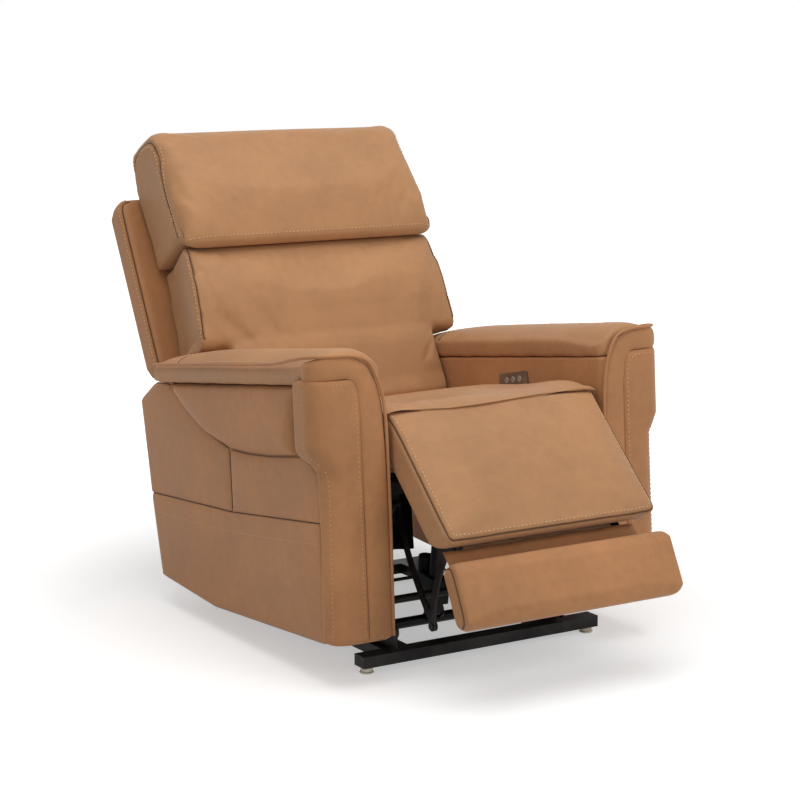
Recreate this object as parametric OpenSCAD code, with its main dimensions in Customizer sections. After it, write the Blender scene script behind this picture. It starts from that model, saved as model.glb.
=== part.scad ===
/* [Stance] */
// Angle that the upholstered body leans back on its lift base at rest
body_tilt = 4.35; // [0:0.05:6]

/* [Arms] */
// Clear width between the two arms
arm_gap = 560; // [552:1:580]
// Thickness of an arm below its top pad
arm_w = 132; // [120:1:140]
// How far the padded upper side stands out past the flat lower side
arm_bulge = 26; // [10:1:36]
// Front face of the arms
arm_front_y = -98; // [-110:1:-90]
// Lower edge of the arms above the floor
skirt_z = 88; // [70:1:110]
// Rise of the lower edge towards the rear corner
skirt_rise = 34; // [0:1:60]
// Height of the arm top at the front
arm_top_z = 672; // [640:1:700]
// Fall of the arm top towards the back
arm_slope = 3.4; // [0:0.1:5]
// Thickness of the top pad of an arm
arm_pad_t = 44; // [30:1:60]
// Crown of the top pad
arm_crown = 28; // [20:1:32]
// Rear corner of the arm at the lower edge
arm_rear_low_y = 714; // [690:1:740]
// Rear corner of the arm under the back
arm_rear_y = 786; // [760:1:795]
// Height of that rear corner
arm_rear_z = 534; // [500:1:540]
// Rear end of the top pad
arm_pad_rear_y = 647; // [600:1:655]
// Top of the pocket on the outer side
pocket_top_z = 328; // [260:1:380]
// Thickness of a sewn panel laid on the side
panel_t = 6; // [3:0.5:8]

/* [Seat] */
// Height of the seat at its front seam
seat_front_z = 557; // [540:1:575]
// Height of the seat where the back cushion meets it
seat_rear_z = 508; // [490:1:515]
// Thickness of the seat cushion
seat_t = 118; // [100:1:130]
// Rear end of the seat cushion
seat_rear_y = 578; // [560:1:580]
// Thickness of the seat deck
deck_t = 16; // [12:1:24]

/* [Back] */
// Recline hinge of the back, fore and aft
back_hinge_y = 600; // [590:1:610]
// Recline hinge of the back, height
back_hinge_z = 380; // [370:1:390]
// Lean of the back from the vertical of the body
back_lean = 23.8; // [20:0.1:26]
// Width of the outer back shell
shell_w = 760; // [700:1:800]
// Thickness of the outer back shell
shell_t = 70; // [50:1:80]
// Height of the shell's top above the hinge, along the back
shell_top = 706; // [690:1:730]
// Height of the shell's lower edge above the hinge, along the back
shell_low = 256; // [252:1:280]
// Width of the back cushions above the arms
cushion_w = 664; // [620:1:690]
// Thickness of the lower back cushion
cushion_t = 192; // [160:1:205]
// Height of the crease between the lower cushion and the head pillow
crease_u = 500; // [470:1:520]
// Height of the head pillow's top above the hinge
pillow_top = 800; // [770:1:830]
// How far the head pillow stands out past the lower cushion
pillow_out = 38; // [20:1:50]

/* [Legrest] */
// Width of the legrest pad
leg_w = 528; // [480:1:560]
// Legrest hinge at the seat front, fore and aft
leg_hinge_y = -66; // [-70:1:-60]
// Depth of the legrest hinge under the seat surface
leg_hinge_drop = 44; // [40:1:46]
// Length of the legrest pad below its hinge
leg_len = 312; // [290:1:314]
// Thickness of the legrest pad
leg_t = 72; // [60:1:80]
// Angle that the legrest is swung out from hanging straight down
leg_open = 42.6; // [30:0.1:50]
// Width of the foot pad
foot_w = 544; // [500:1:560]
// Height of the foot pad
foot_h = 138; // [120:1:142]
// Thickness of the foot pad
foot_t = 50; // [40:1:60]
// Angle that the foot pad is folded back from the legrest
foot_fold = 20; // [10:0.5:26]

/* [Base] */
// Length of the front and rear floor tubes
base_w = 612; // [560:1:640]
// Depth of the floor tubes
tube_d = 40; // [30:1:45]
// Height of the floor tubes
tube_h = 25; // [20:1:30]
// Wall of the tubes and rails
tube_wall = 2.5; // [1.5:0.1:3]
// Underside of the floor tubes above the floor
tube_z = 15; // [12:1:18]
// Distance of each glide from the end of its floor tube
glide_inset = 18; // [14:1:60]
// Diameter of a glide foot
glide_d = 31; // [26:1:38]
// Rear floor tube, fore and aft
rear_tube_y = 625; // [520:1:660]
// Width of the side rails
rail_w = 66; // [60:1:70]
// Middle of a side rail from the centre line
rail_x = 208; // [205:1:211]

/* [Linkage] */
// Thickness of a steel link
plate_t = 4; // [3:0.5:4]
// Width of a lift link
lift_link_w = 29; // [24:1:30]
// Width of a legrest link
leg_link_w = 22; // [18:1:24]
// Diameter of the pivot pins
pin_d = 12; // [10:1:14]

/* [Controls] */
// Length of the control plate on the inner side of the right arm
plate_len = 112; // [100:1:130]
// Height of the control plate
plate_h = 34; // [30:1:40]
// Diameter of a control button
button_d = 15; // [12:1:18]

/* [Hidden] */
$fn = 48;
eps = 0.01;
// Running clearance of a pin in its bore
fit = 0.08;
// Gap kept between soft pieces and their neighbours
soft_gap = 1;
// Gap where a soft piece is seated on what carries it
soft_seat = 0.3;
// Clearance round the two pivots where a closed chain of links is opened
open_fit = 3.6;
// Gap between neighbouring link planes
lane_gap = 1;
lane_0 = rail_x - 12;
pin_r = pin_d / 2;
head_r = pin_r + 4;
head_t = 2.5;
arm_in = arm_gap / 2;
arm_out = arm_in + arm_w;
leg_hinge_z = seat_front_z - leg_hinge_drop;
origin_y = 346.9;

// Places of the lift pivots on the level base
lift_p1 = [8, 76];
lift_p2 = [97.5, 64];
lift_q1 = [230, 170];
lift_q2 = [422, 118];
ram_low = [185, 50];
ram_top = [146, 340];
// Places of the legrest pivots in the legrest's own frame, back from and below its hinge
leg_t_pin = [66, -266];
foot_pin = [42, -310];
foot_crank = [53.4, -288.6];
foot_drive = [78.6, -244.3];
foot_fit = 0.4;
// Elbow of the legrest links in the body's frame
leg_elbow = [-132, 109];

function arc(c, r, a0, a1, n = 6) =
    [for (i = [0:n]) let (a = a0 + (a1 - a0) * i / n) [c[0] + r * cos(a), c[1] + r * sin(a)]];
function round_box(x0, y0, x1, y1, r, n = 6) = concat(
    arc([x1 - r, y0 + r], r, -90, 0, n), arc([x1 - r, y1 - r], r, 0, 90, n),
    arc([x0 + r, y1 - r], r, 90, 180, n), arc([x0 + r, y0 + r], r, 180, 270, n));
// A point turned about the origin, as a lean about the cross axis turns it
function turned(p, a) = [p[0] * cos(a) - p[1] * sin(a), p[0] * sin(a) + p[1] * cos(a)];
function to_body(p) = turned(p, body_tilt);
function lane(n) = lane_0 + n * (plate_t + lane_gap);
function leg_place(p) = [leg_hinge_y, leg_hinge_z] + turned(p, -leg_open);

// Frames: base (level), body (leaning on the base), back, legrest and foot pad
module based() translate([0, -origin_y, 0]) children();
module seated() based() rotate([-body_tilt, 0, 0]) children();
module leaned() seated() translate([0, back_hinge_y, back_hinge_z]) rotate([-back_lean, 0, 0]) children();
module hung() seated() translate([0, leg_hinge_y, leg_hinge_z]) rotate([-leg_open, 0, 0]) children();
module folded() hung() translate([0, foot_pin[0], foot_pin[1]]) rotate([foot_fold, 0, 0]) children();

// A side outline (fore-aft, height) given thickness across the chair
module slab(x0, x1) rotate([90, 0, 90]) translate([0, 0, x0]) linear_extrude(x1 - x0) children();
module across(x0, x1, p, r) translate([x0, p[0], p[1]]) rotate([0, 90, 0]) cylinder(r = r, h = x1 - x0);
module sided(left) mirror([left ? 1 : 0, 0, 0]) children();

// ---- lift base ----
module box_tube(len, d, h, wall) {
    difference() {
        translate([-len / 2, -d / 2, 0]) cube([len, d, h]);
        translate([-len / 2 - 1, -d / 2 + wall, wall]) cube([len + 2, d - 2 * wall, h - 2 * wall]);
    }
    for (s = [-1, 1]) translate([s * len / 2 - (s > 0 ? 3 : 0), -d / 2 + wall, wall])
        cube([3, d - 2 * wall, h - 2 * wall]);
}
module floor_tube() difference() {
    translate([0, 0, tube_z]) box_tube(base_w, tube_d, tube_h, tube_wall);
    for (s = [-1, 1]) translate([s * (base_w / 2 - glide_inset), 0, 0]) cylinder(d = 10,
        h = tube_z + tube_wall + 1);
}
module front_tube() color("#17110f") based() floor_tube();
module rear_tube() color("#17110f") based() translate([0, rear_tube_y, 0]) floor_tube();
motor_tube_d = 24;
module motor_tube() color("#17110f") based() translate([0, ram_low[0] + 12, 0]) {
    in = rail_x - rail_w / 2;
    difference() {
        across(-in, in, [0, tube_z + tube_h / 2], motor_tube_d / 2);
        across(-in - 1, in + 1, [0, tube_z + tube_h / 2], motor_tube_d / 2 - tube_wall);
    }
    // Clevis that carries the foot of the lift actuator
    for (s = [-1, 1]) difference() {
        slab(s * 17 - 2, s * 17 + 2) union() {
            polygon([[-26, 46], [-2, 46], [10, 34], [6, 28], [-12, 28], [-26, 40]]);
            translate([-12, ram_low[1]]) circle(r = 13);
        }
        across(s * 17 - 3, s * 17 + 3, [-12, ram_low[1]], 5 + fit);
        across(s * 17 - 3, s * 17 + 3, [0, tube_z + tube_h / 2], motor_tube_d / 2 - tube_wall / 2);
    }
}
module rail(left) color("#17110f") based() sided(left) {
    y0 = tube_d / 2;
    y1 = rear_tube_y - tube_d / 2;
    x0 = rail_x - rail_w / 2;
    // Rolled channel, open underneath
    difference() {
        translate([x0, y0, tube_z]) cube([rail_w, y1 - y0, tube_h]);
        translate([x0 + tube_wall, y0 - 1, tube_z - 1]) cube([rail_w - 2 * tube_wall, y1 - y0 + 2,
            tube_h - tube_wall + 1]);
    }
    // Upright ear with the two lift pivots
    z0 = tube_z + tube_h;
    slab(lane(4), lane(4) + plate_t) union() {
        polygon(concat([[y0, z0], [150, z0]],
            arc([lift_p2[0] + 4, lift_p2[1]], 17, 0, 90), arc(lift_p1, 17, 90, 180), [[lift_p1[0] - 17,
                z0 + 4], [y0, z0 + 4]]));
    }
    across(lane(3) - head_t, lane(4), lift_p1, pin_r);
    across(lane(3) - head_t - 0.3, lane(3) - 0.3, lift_p1, head_r);
    across(lane(4) + plate_t, lane(5) + plate_t + head_t, lift_p2, pin_r);
    across(lane(5) + plate_t + 0.3, lane(5) + plate_t + head_t, lift_p2, head_r);
}
module rail_left() rail(true);
module rail_right() rail(false);
module at_glides() for (s = [-1, 1], y = [0, rear_tube_y]) translate([s * (base_w / 2 - glide_inset),
    y, 0]) children();
module glide_stems() color("#141414") based() at_glides() {
    translate([0, 0, 5]) cylinder(d = glide_d - 5, h = tube_z - 5);
    translate([0, 0, tube_z - eps]) cylinder(d = 9.8, h = 6);
}
module glide_feet() color("#cfc8bb") based() at_glides() {
    rotate_extrude() polygon([[0, 0], [glide_d / 2 - 1.5, 0], [glide_d / 2, 1.5], [glide_d / 2, 3],
        [glide_d / 2 - 2, 5], [0, 5]]);
}

// ---- lift links ----
module bar(p, q, w, bore_p, bore_q) difference() {
    union() {
        d = q - p;
        translate(p) rotate(atan2(d[1], d[0])) translate([0, -w * 0.42]) square([norm(d), w * 0.84]);
        translate(p) circle(d = w);
        translate(q) circle(d = w);
    }
    translate(p) circle(r = bore_p);
    translate(q) circle(r = bore_q);
}
module lift_link_front(left) color("#1b1614") based() sided(left)
    slab(lane(3), lane(3) + plate_t) bar(lift_p1, lift_q1, lift_link_w, pin_r + fit, pin_r + fit);
module lift_link_front_left() lift_link_front(true);
module lift_link_front_right() lift_link_front(false);
link_mid = lift_p1 + (lift_q1 - lift_p1) * 0.42;
module lift_cross_tube() color("#1b1614") based() difference() {
    across(-lane(3), lane(3), link_mid, 9);
    across(-lane(3) - 1, lane(3) + 1, link_mid, 7);
}
module lift_link_rear(left) color("#1b1614") based() sided(left)
    slab(lane(5), lane(5) + plate_t) bar(lift_p2, lift_q2, lift_link_w, pin_r + fit, pin_r + open_fit);
module lift_link_rear_left() lift_link_rear(true);
module lift_link_rear_right() lift_link_rear(false);
tie_at = lift_p2 + (lift_q2 - lift_p2) * 0.62;
module lift_tie_rod() color("#1b1614") based() across(-lane(5), lane(5), tie_at, 4);

// ---- lift actuator: motor and tube hinge on the base, the rod pushes the seat's front crossbar ----
ram_len = norm(ram_top - ram_low);
ram_angle = atan2(ram_top[0] - ram_low[0], ram_top[1] - ram_low[1]);
module along_ram() based() translate([0, ram_low[0], ram_low[1]]) rotate([-ram_angle, 0, 0]) children();
ram_tube_d = 34;
ram_tube_top = ram_len - 95;
module lift_motor() color("#0c0c0c") along_ram() {
    // Foot eye between the clevis ears
    difference() {
        union() {
            rotate([0, 90, 0]) cylinder(r = 13, h = 28, center = true);
            translate([-14, -13, 0]) cube([28, 26, 20]);
        }
        rotate([0, 90, 0]) cylinder(r = 5 + fit, h = 40, center = true);
    }
    translate([0, 0, 20]) intersection() {
        translate([0, 8, 0]) linear_extrude(62) polygon(round_box(-24, -34, 24, 30, 9));
        translate([-30, 0, 0]) rotate([90, 0, 90]) linear_extrude(60) polygon(round_box(-30, 0, 42, 62, 8));
    }
    // Motor can lying along the tube
    translate([0, 46, 40]) rotate([90, 0, 0]) cylinder(r = 17, h = 12);
    translate([0, 46, 40]) cylinder(r = 18, h = 74);
}
module lift_tube() color("#23201f") along_ram() translate([0, 0, 82]) difference() {
    cylinder(d = ram_tube_d, h = ram_tube_top - 82);
    translate([0, 0, 4]) cylinder(d = 22.4, h = ram_tube_top);
}
module lift_rod() color("#b9b9b7") along_ram() difference() {
    union() {
        translate([0, 0, 92]) cylinder(d = 22, h = ram_len - 100);
        translate([0, 0, ram_len]) rotate([0, 90, 0]) cylinder(r = 15, h = 18, center = true);
        translate([-9, -9, ram_len - 16]) cube([18, 18, 12]);
    }
    translate([0, 0, ram_len]) rotate([0, 90, 0]) cylinder(r = 5 + open_fit, h = 40, center = true);
}

// ---- steel frame under the seat ----
q1 = to_body(lift_q1);
q2 = to_body(lift_q2);
leg_s_pin = [leg_elbow[0] + leg_hinge_y - leg_place(leg_t_pin)[0],
    leg_elbow[1] + leg_hinge_z - leg_place(leg_t_pin)[1]];
seat_slope = atan((seat_front_z - seat_rear_z) / (491 - arm_front_y));
function seat_top(y) = seat_front_z - (y - arm_front_y) * tan(seat_slope);
function seat_low(y) = seat_top(y) - seat_t + soft_seat;
plate_top = seat_top(seat_rear_y) - seat_t - deck_t - 4;
ram_at = to_body(ram_top);
ram2_low = [330, 328];
ram2_top = [648, 309];
bar_s = 28;
module side_plate(left) color("#1b1614") seated() sided(left) {
    slab(lane(4), lane(4) + plate_t) difference() {
        union() {
            // Long rail under the deck, with a waist and a drop bracket to the lift pivots
            polygon(concat(
                arc([leg_s_pin[0] - 6, plate_top - 20], 20, 90, 180),
                arc([leg_s_pin[0] + 2, leg_s_pin[1]], 24, 180, 270),
                [[120, plate_top - 62], [190, plate_top - 120]],
                arc(q1, 20, 180, 250),
                arc(q2, 19, 250, 360),
                [[q2[0] + 40, 250], [seat_rear_y - 60, plate_top - 50]],
                arc([seat_rear_y - 30, plate_top - 30], 30, 0, 90)));
            // Ear of the back hinge
            translate([back_hinge_y, back_hinge_z]) circle(r = 22);
            polygon([[back_hinge_y - 60, plate_top - 40], [back_hinge_y + 12, back_hinge_z - 18],
                [back_hinge_y - 12, back_hinge_z + 18], [back_hinge_y - 40, plate_top - 4]]);
        }
        // Lightening windows
        polygon(round_box(250, 225, 395, 285, 22));
    }
    across(lane(3) - head_t, lane(4), q1, pin_r);
    across(lane(3) - head_t - 0.3, lane(3) - 0.3, q1, head_r);
    across(lane(4) + plate_t, lane(5) + plate_t + head_t, q2, pin_r);
    across(lane(5) + plate_t + 0.3, lane(5) + plate_t + head_t, q2, head_r + open_fit);
    across(lane(0) - head_t, lane(4), leg_s_pin, pin_r);
    across(lane(0) - head_t - 0.3, lane(0) - 0.3, leg_s_pin, head_r);
    across(lane(1), lane(4), leg_s_pin, head_r);
    across(lane(4) + plate_t, back_arm_x + 3 + head_t, [back_hinge_y, back_hinge_z], pin_r);
    across(back_arm_x + 3.3, back_arm_x + 3 + head_t, [back_hinge_y, back_hinge_z], head_r);
    // Out-turned flange that the arms are bolted to
    translate([lane(4) + plate_t, 70, plate_top - 40]) cube([arm_in - lane(4) - plate_t, 60, plate_t]);
    translate([lane(4) + plate_t, 470, plate_top - 40]) cube([arm_in - lane(4) - plate_t, 60, plate_t]);
}
module side_plate_left() side_plate(true);
module side_plate_right() side_plate(false);
module square_bar(p) seated() difference() {
    translate([-lane(4), p[0] - bar_s / 2, p[1] - bar_s / 2]) cube([2 * lane(4), bar_s, bar_s]);
    translate([-lane(4) - 1, p[0] - bar_s / 2 + 2, p[1] - bar_s / 2 + 2]) cube([2 * lane(4) + 2,
        bar_s - 4, bar_s - 4]);
}
module lugs(p, at, gap, r) seated() for (s = [-1, 1]) {
    x = s * (gap / 2 + 2);
    slab(x - 2, x + 2) difference() {
        union() {
            translate(p) circle(r = r);
            polygon([p + [0, r], p + [0, -r], [at[0], at[1] - r], [at[0], at[1] + r]]);
        }
    }
}
front_bar = [ram_at[0] + 38, ram_at[1] + 6];
module seat_crossbar_front() color("#17110f") {
    square_bar(front_bar);
    lugs(ram_at, front_bar - [bar_s / 2, 0], 22, 12);
    seated() across(-15, 15, ram_at, 5);
}

rear_bar = [ram2_low[0] - 40, ram2_low[1] + 6];
module seat_crossbar_rear() color("#17110f") {
    square_bar(rear_bar);
    lugs(ram2_low, rear_bar + [bar_s / 2, 0], 22, 12);
    seated() across(-15, 15, ram2_low, 5);
}
module seat_deck() color("#6b4a33") seated() {
    translate([0, 30, seat_top(30) - seat_t - deck_t - 0.5]) rotate([-seat_slope, 0, 0])
        translate([-arm_in + 0.3, 0, 0]) cube([arm_gap - 0.6, (seat_rear_y - 30) / cos(seat_slope)
            - 16, deck_t]);
}
roll_r = leg_hinge_drop + 1;
seat_crown = 17;
module seat_cushion() color("#b58a5f") seated() difference() {
    intersection() {
        slab(-arm_in + soft_gap, arm_in - soft_gap) polygon(concat(
        [[leg_hinge_y + 30, seat_low(leg_hinge_y + 30)]],
        [[leg_hinge_y + 26, leg_hinge_z]],
        arc([leg_hinge_y - 22, seat_front_z + 8], 5, 270, 100, 5),
        [[120, seat_top(120) + 16], [260, seat_top(260) + 14]],
        arc([seat_rear_y - 24, seat_top(seat_rear_y) - 26], 24, 90, 0),
        arc([seat_rear_y - 24, seat_low(seat_rear_y - 24) + 24], 24, 0, -90)));
        // Rounded shoulders, on the slope of the seat
        translate([0, -200, seat_top(-200)]) rotate([-seat_slope, 0, 0])
            translate([0, 900, 0]) rotate([90, 0, 0]) linear_extrude(900) polygon(concat(
                [[-arm_in, -300], [arm_in, -300]],
                arc([arm_in - soft_gap - 26, seat_crown - 26], 26, 0, 90),
                arc([-arm_in + soft_gap + 26, seat_crown - 26], 26, 90, 180)));
    }
    across(-arm_in, arm_in, [leg_hinge_y, leg_hinge_z], roll_r + 3);
}

// ---- arms ----
function arm_top(y) = arm_top_z - (y - arm_front_y) * tan(arm_slope);
// Outline of an arm under its top pad
function arm_side() = concat(
    [[arm_front_y, skirt_z], [449, skirt_z], [arm_rear_low_y, skirt_z + skirt_rise],
     [arm_rear_low_y + 37, 312], [arm_rear_y, arm_rear_z], [703, 580]],
    [[arm_pad_rear_y, arm_top(arm_pad_rear_y) - arm_pad_t], [arm_front_y, arm_top(arm_front_y)
        - arm_pad_t]]);
module arm_plan(x0, x1, r_in, r_out, z) translate([0, 0, skirt_z - 200]) linear_extrude(z) polygon(concat(
    [[x1, 900], [x0, 900]],
    arc([x0 + r_in, arm_front_y + r_in], r_in, 180, 270),
    arc([x1 - r_out, arm_front_y + r_out], r_out, 270, 360)));
module arm(left) color("#b0845a") seated() sided(left) intersection() {
    slab(arm_in, arm_out) polygon(arm_side());
    arm_plan(arm_in, arm_out, 16, 34, 900);
}
module arm_left() arm(true);
module arm_right() arm(false);
// Seam that sweeps down from the rear of the arm to the front panel
seam_rear = [610, 585];
seam_mid = [335, 461];
seam_front = [26, 474];
module arm_side_pad(left) color("#b88c62") seated() sided(left) intersection() {
    slab(arm_out, arm_out + arm_bulge) polygon(concat(
        [[8, arm_top(8) - arm_pad_t - soft_gap], seam_front, [150, 463], [250, 459], seam_mid, [430,
            486], [520, 530]],
        [seam_rear]));
    // Bulge, fullest a little below the middle
    translate([0, 800, 0]) rotate([90, 0, 0]) linear_extrude(900) polygon(concat(
        [[arm_out - 1, 440], [arm_out + 2, 459]],
        [[arm_out + arm_bulge * 0.75, 478], [arm_out + arm_bulge, 508], [arm_out + arm_bulge, 545],
         [arm_out + arm_bulge * 0.8, 590], [arm_out + arm_bulge * 0.55, 640], [arm_out - 1, 640]]));
}
module arm_side_left() arm_side_pad(true);
module arm_side_right() arm_side_pad(false);
module arm_top_pad(left) color("#bb8f64") seated() sided(left) {
    over = arm_out + arm_bulge;
    intersection() {
        slab(arm_in - 2, over) polygon([
            [arm_front_y - 4, arm_top(arm_front_y) - arm_pad_t + 0.4],
            [arm_pad_rear_y, arm_top(arm_pad_rear_y) - arm_pad_t + 0.4],
            [arm_pad_rear_y + 26, arm_top(arm_pad_rear_y) - arm_pad_t + 6],
            [arm_pad_rear_y + 8, arm_top(arm_pad_rear_y)],
            [arm_pad_rear_y - 30, arm_top(arm_pad_rear_y) + arm_crown * 0.5],
            [450, arm_top(450) + arm_crown * 0.85], [200, arm_top(200) + arm_crown], [0, arm_top(0)
                + arm_crown],
            [arm_front_y + 50, arm_top(arm_front_y) + arm_crown * 0.98],
            [arm_front_y + 20, arm_top(arm_front_y) + arm_crown * 0.85],
            [arm_front_y + 4, arm_top(arm_front_y) + arm_crown * 0.6],
            [arm_front_y - 3, arm_top(arm_front_y) + arm_crown * 0.2]]);
        arm_plan(arm_in - 2, over, 20, 46, 900);
        // Rounded shoulders, on the slope of the arm
        translate([0, arm_front_y - 20, arm_top(arm_front_y - 20)]) rotate([-arm_slope, 0, 0])
            translate([0, 850, 0]) rotate([90, 0, 0]) linear_extrude(900) polygon(concat(
                [[arm_in - 3, -arm_pad_t - 8], [over - 8, -arm_pad_t - 8]],
                arc([over - 16, -18], 16, -50, 50),
                [[over - 22, arm_crown * 0.35], [over - 50, arm_crown * 0.8], [(arm_in + over) / 2,
                    arm_crown + 1],
                 [arm_in + 44, arm_crown * 0.85], [arm_in + 18, arm_crown * 0.5]],
                arc([arm_in + 12, -4], 14, 130, 180)));
    }
}
module arm_top_left() arm_top_pad(true);
module arm_top_right() arm_top_pad(false);
// Wrapped front panel: wide at the top, stepping in to a narrow strip
module arm_front_panel(left) color("#b88b60") seated() sided(left) intersection() {
    union() {
        slab(arm_out, arm_out + panel_t) polygon([
            [arm_front_y, skirt_z + 2], [-43, skirt_z + 2], [-56, 431], [-44, 456], [-21, 474], [-21,
                480], [arm_front_y, 480]]);
        slab(arm_out, arm_out + arm_bulge + 2) polygon([
            [arm_front_y, 478], [-22, 478], [6, 486], [7, arm_top(8) - arm_pad_t - soft_gap],
            [arm_front_y, arm_top(arm_front_y) - arm_pad_t - soft_gap]]);
    }
    arm_plan(arm_in, arm_out + arm_bulge + 2, 16, 40, 900);
}
module arm_front_left() arm_front_panel(true);
module arm_front_right() arm_front_panel(false);
module pocket(left) color("#b58961") seated() sided(left)
    slab(arm_out, arm_out + panel_t) polygon([
        [-40, skirt_z + 12], [440, skirt_z + 12], [arm_rear_low_y - 8, skirt_z + skirt_rise + 12],
        [arm_rear_low_y + 28, 300], [arm_rear_low_y + 28, pocket_top_z - 14], [335, pocket_top_z - 12],
            [-44, pocket_top_z + 14]]);
module pocket_left() pocket(true);
module pocket_right() pocket(false);
// Cloth-covered boards that close the gap between the arms and the linkage
module seat_valances() color("#5b3d2a") seated() for (left = [true, false]) sided(left)
    slab(arm_in - 9, arm_in - soft_seat) polygon(concat(
        [[-60, 420], [-60, 330]], arc([-20, 320], 40, 190, 270), arc([20, 320], 40, 270, 350),
        [[62, 390], [28, 390], [28, 420]]));

// ---- control plate on the inner side of the right arm ----
plate_at = [235, 556];
plate_tilt = -8;
button_step = 26;
module at_plate() seated() translate([arm_in, plate_at[0], plate_at[1]]) rotate([plate_tilt, 0, 0])
    rotate([0, -90, 0]) children();
plate_thick = 5;
module control_plate() color("#6a6058") at_plate() difference() {
    linear_extrude(plate_thick) polygon(round_box(-plate_h / 2, -plate_len / 2, plate_h / 2,
        plate_len / 2, 5));
    for (i = [-1, 0, 1]) translate([0, i * button_step, 0.8]) cylinder(d = button_d + 0.6, h = plate_thick);
}
button_t = 3.2;
module button(i) color("#8d8780") at_plate() translate([0, i * button_step, 2.6]) rotate_extrude()
    polygon([[0, 0], [button_d / 2, 0], [button_d / 2, button_t - 0.8], [button_d / 2 - 0.8, button_t],
        [button_d / 2 - 3, button_t], [0, button_t - 0.8]]);
module button_recline() button(-1);
module button_head() button(0);
module button_lift() button(1);

// ---- back ----
shell_back = 119;
shell_front = shell_back - shell_t;
cushion_front = shell_front - cushion_t;
module back_shell() color("#ad8158") leaned() intersection() {
    slab(-shell_w / 2, shell_w / 2) polygon(concat(
        [[shell_front, shell_low]],
        [[shell_back - 4, shell_low]],
        arc([shell_back - 30, shell_top - 30], 30, 0, 90),
        arc([shell_front + 16, shell_top - 16], 16, 90, 180)));
    // Seen from the front the shell has rounded top corners
    translate([0, 200, 0]) rotate([90, 0, 0]) linear_extrude(300)
        polygon(round_box(-shell_w / 2, shell_low - 1, shell_w / 2, shell_top + 1, 26));
}
// Steel frame inside the back: panel, two hinge arms and the drive lugs
back_arm_x = lane(5) + plate_t + 6;
panel_gauge = 3;
drive = turned([ram2_top[0] - back_hinge_y, ram2_top[1] - back_hinge_z], back_lean);
drive_tube = [46, 18];
module back_frame() color("#17110f") leaned() {
    for (s = [-1, 1]) difference() {
        slab(s * back_arm_x - 3, s * back_arm_x + 3) {
            circle(r = 22);
            polygon([[-18, 10], [0, -22], [46, 2], [61, 14], [shell_front - panel_gauge - 0.5, 140],
                [shell_front - panel_gauge - 0.5, 240], [shell_front - 30, 240]]);
            translate(drive_tube) circle(r = 16);
        }
        across(s * back_arm_x - 4, s * back_arm_x + 4, [0, 0], pin_r + fit);
    }
    slab(-back_arm_x - 3, back_arm_x + 3)
        polygon([[shell_front - panel_gauge - 0.5, 130], [shell_front - 0.5, 130], [shell_front - 0.5,
            crease_u + leaf_t / 2], [shell_front - panel_gauge - 0.5, crease_u + leaf_t / 2]]);
    difference() {
        across(-back_arm_x, back_arm_x, drive_tube, 12);
        across(-back_arm_x + 4, back_arm_x - 4, drive_tube, 10);
    }
    for (s = [-1, 1]) slab(s * 13 - 2, s * 13 + 2) difference() {
        union() {
            translate(drive) circle(r = 12);
            polygon([drive + [-12, 0], drive + [12, 0], drive_tube + [9, 0], drive_tube + [-9, 0]]);
        }
        translate(drive_tube) circle(r = 11);
    }
    across(-15, 15, drive, 5);
    // Fixed leaf of the headrest hinge
    slab(-170, 170) polygon([[shell_front - 1, crease_u - leaf_t / 2], [shell_front - 1,
        crease_u + leaf_t / 2],
        [head_hinge[0] + 6, crease_u + leaf_t / 2], [head_hinge[0] + 6, crease_u - leaf_t / 2]]);
    for (s = [-1, 1]) {
        slab(s * 150 - 20, s * 150 + 20) knuckle(-leaf_t);
        across(s * 130 - 40, s * 130 + 40, head_hinge, 2);
    }
}
// ---- headrest hinge, under the pillow's sewn crease ----
leaf_t = 2;
head_hinge = [cushion_front + 15, crease_u + 3];
module knuckle(side) {
    translate(head_hinge) circle(r = 4, $fn = 32);
    translate(head_hinge + [0, side > 0 ? leaf_t : -2 * leaf_t]) square([8, leaf_t]);
}
module back_cushion() color("#b88c61") leaned() {
    rear = shell_front - panel_gauge - soft_seat - 0.5;
    low = cushion_front;
    // Part above the arms
    intersection() {
        slab(-cushion_w / 2 - 20, cushion_w / 2 + 20) polygon(concat(
            [[rear, shell_low + 4]],
            arc([low + 20, shell_low + 24], 20, 270, 180),
            [[low - 8, shell_low + 80], [low - 12, shell_low + 130]],
            arc([low + 24, crease_u - 26], 24, 180, 90),
            [[rear, crease_u - 2]]));
        translate([0, 200, 0]) rotate([90, 0, 0]) linear_extrude(400) polygon([
            [-cushion_w / 2 - 13, shell_low], [cushion_w / 2 + 13, shell_low],
            [cushion_w / 2 + 13, shell_low + 60], [cushion_w / 2, crease_u],
            [-cushion_w / 2, crease_u], [-cushion_w / 2 - 13, shell_low + 60]]);
    }
    // Part that drops between the arms to the seat
    slab(-arm_in + 6, arm_in - 6) polygon(concat(
        [[low + 112, 140]],
        arc([low + 24, 118], 24, 240, 180),
        [[low, shell_low + 5], [low + 112, shell_low + 5]]));
}
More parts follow.
